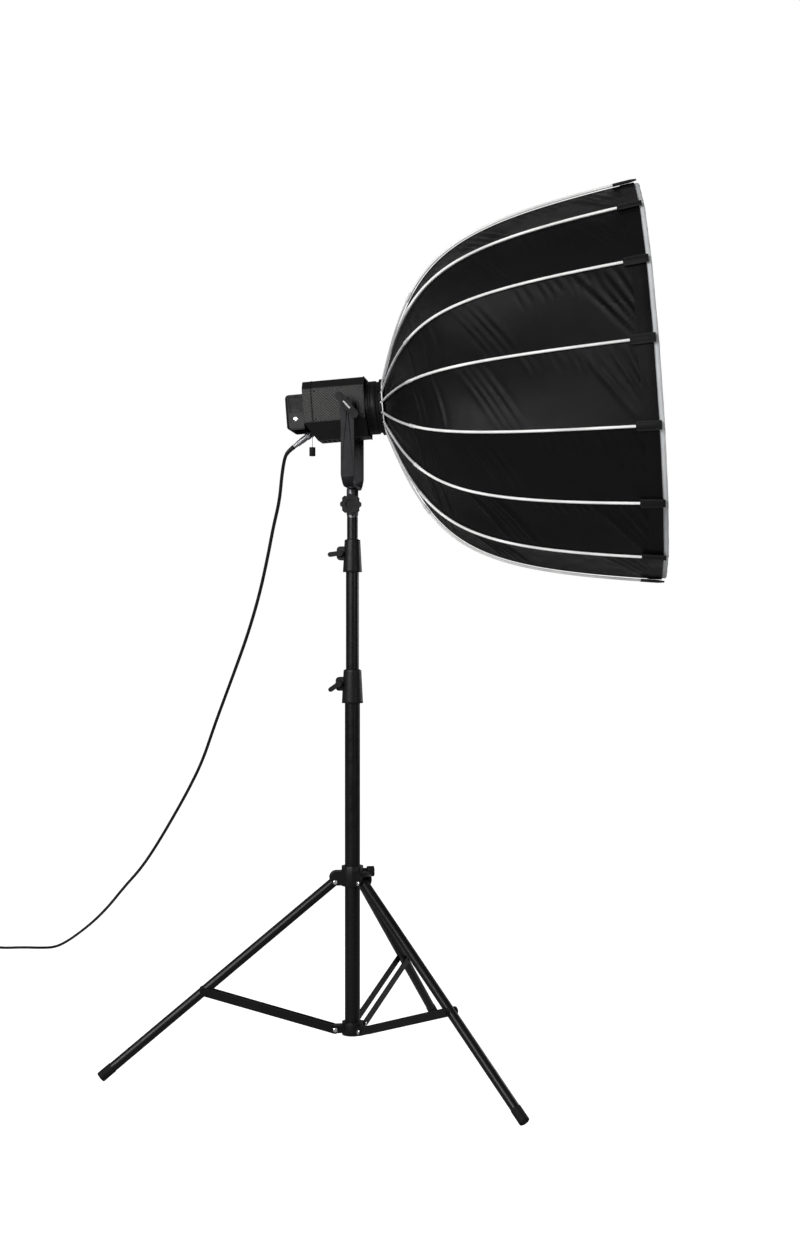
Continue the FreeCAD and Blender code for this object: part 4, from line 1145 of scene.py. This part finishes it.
def add_side_plates():
    """Carbon panels on the housing, plates on the handle, and the screws of both."""
    carbon = carbon_weave()
    plate_grey = coated("plate_grey", (0.017, 0.017, 0.018), 0.46, depth=0.00005, shine=0.2)
    panels, plates, screws, small = [], [], [], []
    for side in (-1, 1):
        place, out = lamp_side(side), LAMP_TURN @ Vector((0, side, 0))
        front = [rounded_rectangle((-0.0822, 0.0335), (-0.0262, 0.0472), 0.005), circle(0.0236)]
        rear = [rounded_rectangle((-0.1035, -0.0868), (-0.0262, 0.0472), 0.004)]
        for outlines in (front, rear):
            panels.append(plate_shape(outlines, 0.0007, 0.0002, place(HOUSING_SIDE)))
        lower = rounded_rectangle((-0.1410, -0.1068), (-0.0370, -0.0010), 0.006)
        ear = rounded_rectangle((-0.1345, -0.1135), (-0.004, 0.0052), 0.005)
        plates.append(plate_shape([lower], 0.0011, 0.0003, place(HANDLE_SIDE)))
        plates.append(plate_shape([ear], 0.0015, 0.0004, place(EAR_SIDE)))
        handle_screw = Vector((-0.1244, side * 0.0524, -0.016))
        screws.append(socket_screw(LAMP @ handle_screw, out, 0.0062, 0.0024))
        for x in (-0.0775, 0.0290):
            for z in (-0.0215, 0.0425):
                small.append(socket_screw(LAMP @ Vector((x, side * 0.0624, z)), out, 0.0021, 0.0009))
    for name, shapes, material, slot in (
        ("side_panels", panels, carbon, "lamp_body"),
        ("handle_side_plates", plates, plate_grey, "lamp_trim"),
        ("handle_screw_heads", screws, BRIGHT_STEEL, "bright_steel"),
        ("panel_screws", small, TRIM_BLACK, "lamp_trim"),
    ):
        new_joined(name, shapes, [material], "lamp", slot, smooth=30)


def add_housing_beads():
    """A raised edge round both ends of the housing; the rear one stops above the handle's lower part."""
    section = [(0.038, -0.0675), (0.062, -0.0285), (0.062, 0.0495), (0.044, 0.0675)]
    ring = section + [(-y, z) for y, z in reversed(section)]
    beads = []
    for x, grow in ((0.0362, 0.0004), (-0.0845, 0.0003)):
        for (y0, z0), (y1, z1) in zip(ring, ring[1:] + ring[:1]):
            scale = 1 + grow / 0.06
            a, b = (LAMP @ Vector((x, y * scale, z * scale)) for y, z in ((y0, z0), (y1, z1)))
            line = [a, a.lerp(b, 0.02), a.lerp(b, 0.98), b]
            beads.append(tube_shape(line, [0.0007, 0.0009, 0.0009, 0.0007], 8))
    rear = [bead for bead in beads[8:] if min(p.z for p in bead[0]) > TILT_HEIGHT - 0.05]
    new_joined("housing_beads", beads[:8] + rear, [TRIM_BLACK], "lamp", "lamp_trim")


def add_tilt_lever_painted_highlight():
    """A pale strip along the tilt lever: a painted highlight of its edge."""
    # The pale grey of this strip is a painted highlight.
    highlight_paint = coated("lever_painted_highlight", (0.36, 0.36, 0.36), 0.45, grain=700, depth=0.00003)
    lean = radians(-47)
    way = Vector((cos(lean), 0, sin(lean)))
    side_way = Vector((-sin(lean), 0, cos(lean)))
    pivot = Vector((MAST.x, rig.box("tilt_lock_lever")[0].y, TILT_HEIGHT))

    def place(a, b, out):
        return pivot + way * a + side_way * b - Vector((0, out - 0.0002, 0))

    line = rounded_rectangle((-0.011, 0.012), (-0.0017, 0.0017), 0.0016)
    shape = plate_shape([line], 0.0008, 0.0002, place)
    new_piece("tilt_lever_painted_highlight", *shape, [highlight_paint], "tilt_lock_lever", "lamp_ring")


def add_plug_details():
    """The knurled nut and collar of the connector."""
    out = LAMP_TURN @ CUT_NORMAL
    start = LAMP @ (SOCKET_BASE + CUT_NORMAL * 0.009)
    nut = [(0.0012, 0.0078), (0.0018, 0.0085), (0.0088, 0.0085), (0.0094, 0.0078)]
    collar = [(0.0275, 0.0058), (0.028, 0.0066), (0.0345, 0.0066), (0.035, 0.0058)]
    turned = [turned_shape(start, out, *row) for row in ((nut, 96, 0.0005, 24), (collar, 96, 0.0004, 16))]
    new_joined("plug_knurl", turned, [CONNECTOR], "lamp", "connector_metal")


def add_lanyard():
    """The cap's thin cord, which hangs a little out of straight."""
    low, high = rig.box("cap_lanyard")
    x, y = (low.x + high.x) / 2, (low.y + high.y) / 2
    top, bottom = Vector((x, y, high.z)), Vector((x, y, low.z))
    ways = ((0, 0, 0), (0.0004, 0, 0.25), (-0.0003, 0.0002, 0.5), (0.0003, 0, 0.75), (0, 0, 1))
    points = [top.lerp(bottom, share) + Vector((dx, dy, 0)) for dx, dy, share in ways]
    curve = smooth_curve("cap_cord", points)
    curve.bevel_depth, curve.bevel_resolution, curve.use_fill_caps = 0.0006, 3, True
    curve.materials.append(coated("cap_cord_black", (0.03, 0.03, 0.03), 0.6, grain=1500, depth=0.00004))
    cord = put("cap_cord", curve)
    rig.ride(cord, "hanging_cap")
    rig.slot(cord, "cable_rubber")
    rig.replaces(cord, "cap_lanyard")
    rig.cord(
        cord, exit=top, length=(top - bottom).length, diameter=0.0012, far_end="fitting",
        stiffness="limp", lay="hanging", with_pieces=["socket_cap"],
    )


def add_ring_edging():
    """The pale wire hoop that the ribs' eyes sit on, round the edge of the speed ring."""
    hoop_x, hoop_r, wire_r = 0.0765, 0.0637, 0.0014
    hoop = []
    for phase in angles(128):
        ring = []
        for angle in angles(10):
            x, r = hoop_x + wire_r * cos(angle), hoop_r + wire_r * sin(angle)
            ring.append(from_axis(x, out_at(phase), r))
        hoop.append(ring)
    shape = loft(hoop + hoop[:1], closed_ends=False)
    new_piece("ring_edging", *shape, [ROD_WHITE], "softbox", "rib_white")


# ---- stand ----

LEG_AZIMUTHS = [radians(a) for a in (195.6, 315.6, 75.6)]
PIVOT_OUT = 0.042    # from the mast's axis to the pivots of the legs and braces
PIVOTS = (("leg_hub", 0.435, 0.0181), ("column", 0.097, 0.0171))    # body, height, half a rivet's length
RIVET_DOME = [(-0.0003, 0.0052), (0.0002, 0.0052), (0.0009, 0.0044), (0.0014, 0.0026), (0.0016, 0.0006)]


def add_stand_details():
    """Domed rivet caps on the pivots, and the thin bushes where each tube enters its collar."""
    foot = Vector((MAST.x, MAST.y, 0))
    caps = {"leg_hub": [], "column": []}
    for azimuth in LEG_AZIMUTHS:
        out = Vector((cos(azimuth), sin(azimuth), 0))
        across = Vector((-sin(azimuth), cos(azimuth), 0))
        for side in (-1, 1):
            for body, height, reach in PIVOTS:
                base = foot + out * PIVOT_OUT + Vector((0, 0, height)) + across * side * reach
                caps[body].append(turned_shape(base, across * side, RIVET_DOME, 24))
    for body, shapes in caps.items():
        new_joined(f"rivet_caps_{body}", shapes, [BRIGHT_STEEL], body, "bright_steel")
    for name, node, body, radius in (
        ("column_bush", "column_collar", "column", 0.0150), ("mid_bush", "mid_collar", "mid_mast", 0.0125),
    ):
        base = foot + Vector((0, 0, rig.box(node)[1].z - 0.0006))
        lip = [(0, 0.0002), (0, 0.0026), (0.0012, 0.0026), (0.0022, 0.0016), (0.0024, 0.0002)]
        rings = []
        for along, wall in lip + lip[:1]:
            r = radius + wall
            rings.append([base + Vector((r * cos(a), r * sin(a), along)) for a in angles(48)])
        new_piece(name, *loft(rings, closed_ends=False), [KNOB_BLACK], body, "knob_black")


# ---- finishes of the carried-over parts ----

FINISHES = {
    TUBE_BLACK: ["column_tube", "mid_tube", "top_tube", "leg_1", "leg_2", "leg_3"],
    CAST_BLACK: ["column_collar", "mid_collar", "leg_hub", "leg_spider", "pivot_bolt",
                 "leg_brace_1", "leg_brace_2", "leg_brace_3"],
    KNOB_BLACK: ["column_collar_knob", "mid_collar_knob", "hub_lock_knob", "receiver_knob",
                 "tilt_lock_lever", "control_dial", "mount_latch", "fan_frame", "fan_rotor"],
    RUBBER: ["foot_1", "foot_2", "foot_3", "socket_cap"],
    YOKE_PAINT: ["yoke_bracket"],
    RECEIVER_METAL: ["yoke_receiver", "top_spigot"],
    HOUSING_BLACK: ["lamp_housing", "rear_cover"],
    TRIM_BLACK: ["rear_handle"],
    RING_BLACK: ["mount_ring", "speed_ring"],
    SINK_METAL: ["heat_sink"],
    LED_BOARD: ["led_module"],
    CONNECTOR: ["cable_plug", "cable_end_plug"],
}
SOFT_EDGES = {    # width of the rounding, and the parts that have it
    0.0006: ["pivot_bolt"],
    0.0007: ["lamp_housing", "rear_cover", "mount_ring"],
    0.0008: ["yoke_bracket", "yoke_receiver", "column_collar", "mid_collar"],
    0.001: ["leg_hub", "leg_spider", "column_collar_knob", "mid_collar_knob", "hub_lock_knob"],
    0.0012: ["rear_handle", "receiver_knob"],
    0.0015: ["tilt_lock_lever"],
    0.0022: ["socket_cap"],
}


def finish_frame():
    for material, names in FINISHES.items():
        for name in names:
            for slot in NODES[name].material_slots:
                slot.link = "OBJECT"
                slot.material = material
    for width, names in SOFT_EDGES.items():
        for name in names:
            weld = NODES[name].modifiers.new("weld", "WELD")
            weld.merge_threshold = 0.00001
            bevel = NODES[name].modifiers.new("soft_edges", "BEVEL")
            bevel.width, bevel.segments, bevel.angle_limit = width, 2, radians(35)
            bevel.harden_normals = True


def add_floor():
    mesh = bpy.data.meshes.new("floor")
    size = 30
    corners = [(-size, -size, 0), (size, -size, 0), (size, size, 0), (-size, size, 0)]
    mesh.from_pydata(corners, [], [(0, 1, 2, 3)])
    m = Nodes("floor_white", (0.45, 0.45, 0.45), 0.9, Emission_Color=(1, 1, 1, 1))
    m.colour(m.ramp(m.noise(3), (0.44, 0.44, 0.44), (0.46, 0.46, 0.46)))
    glow = m.add("ShaderNodeMath", operation="MULTIPLY")
    glow.inputs[1].default_value = 0.94
    m.link(m.add("ShaderNodeLightPath").outputs["Is Camera Ray"], glow.inputs[0])
    m.link(glow.outputs[0], m.shader.inputs["Emission Strength"])
    mesh.materials.append(m.material)
    floor = put("floor", mesh)
    floor.location.z = -0.0005
    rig.stage(floor)


add_side_plates()
add_housing_beads()
add_tilt_lever_painted_highlight()
add_plug_details()
add_lanyard()
add_ring_edging()
add_stand_details()
finish_frame()
add_floor()

VISUAL_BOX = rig.bounds()
with open("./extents.json", "w") as size_file:
    json.dump({"cad": [list(p) for p in CAD_BOX], "visual": [list(p) for p in VISUAL_BOX]}, size_file)
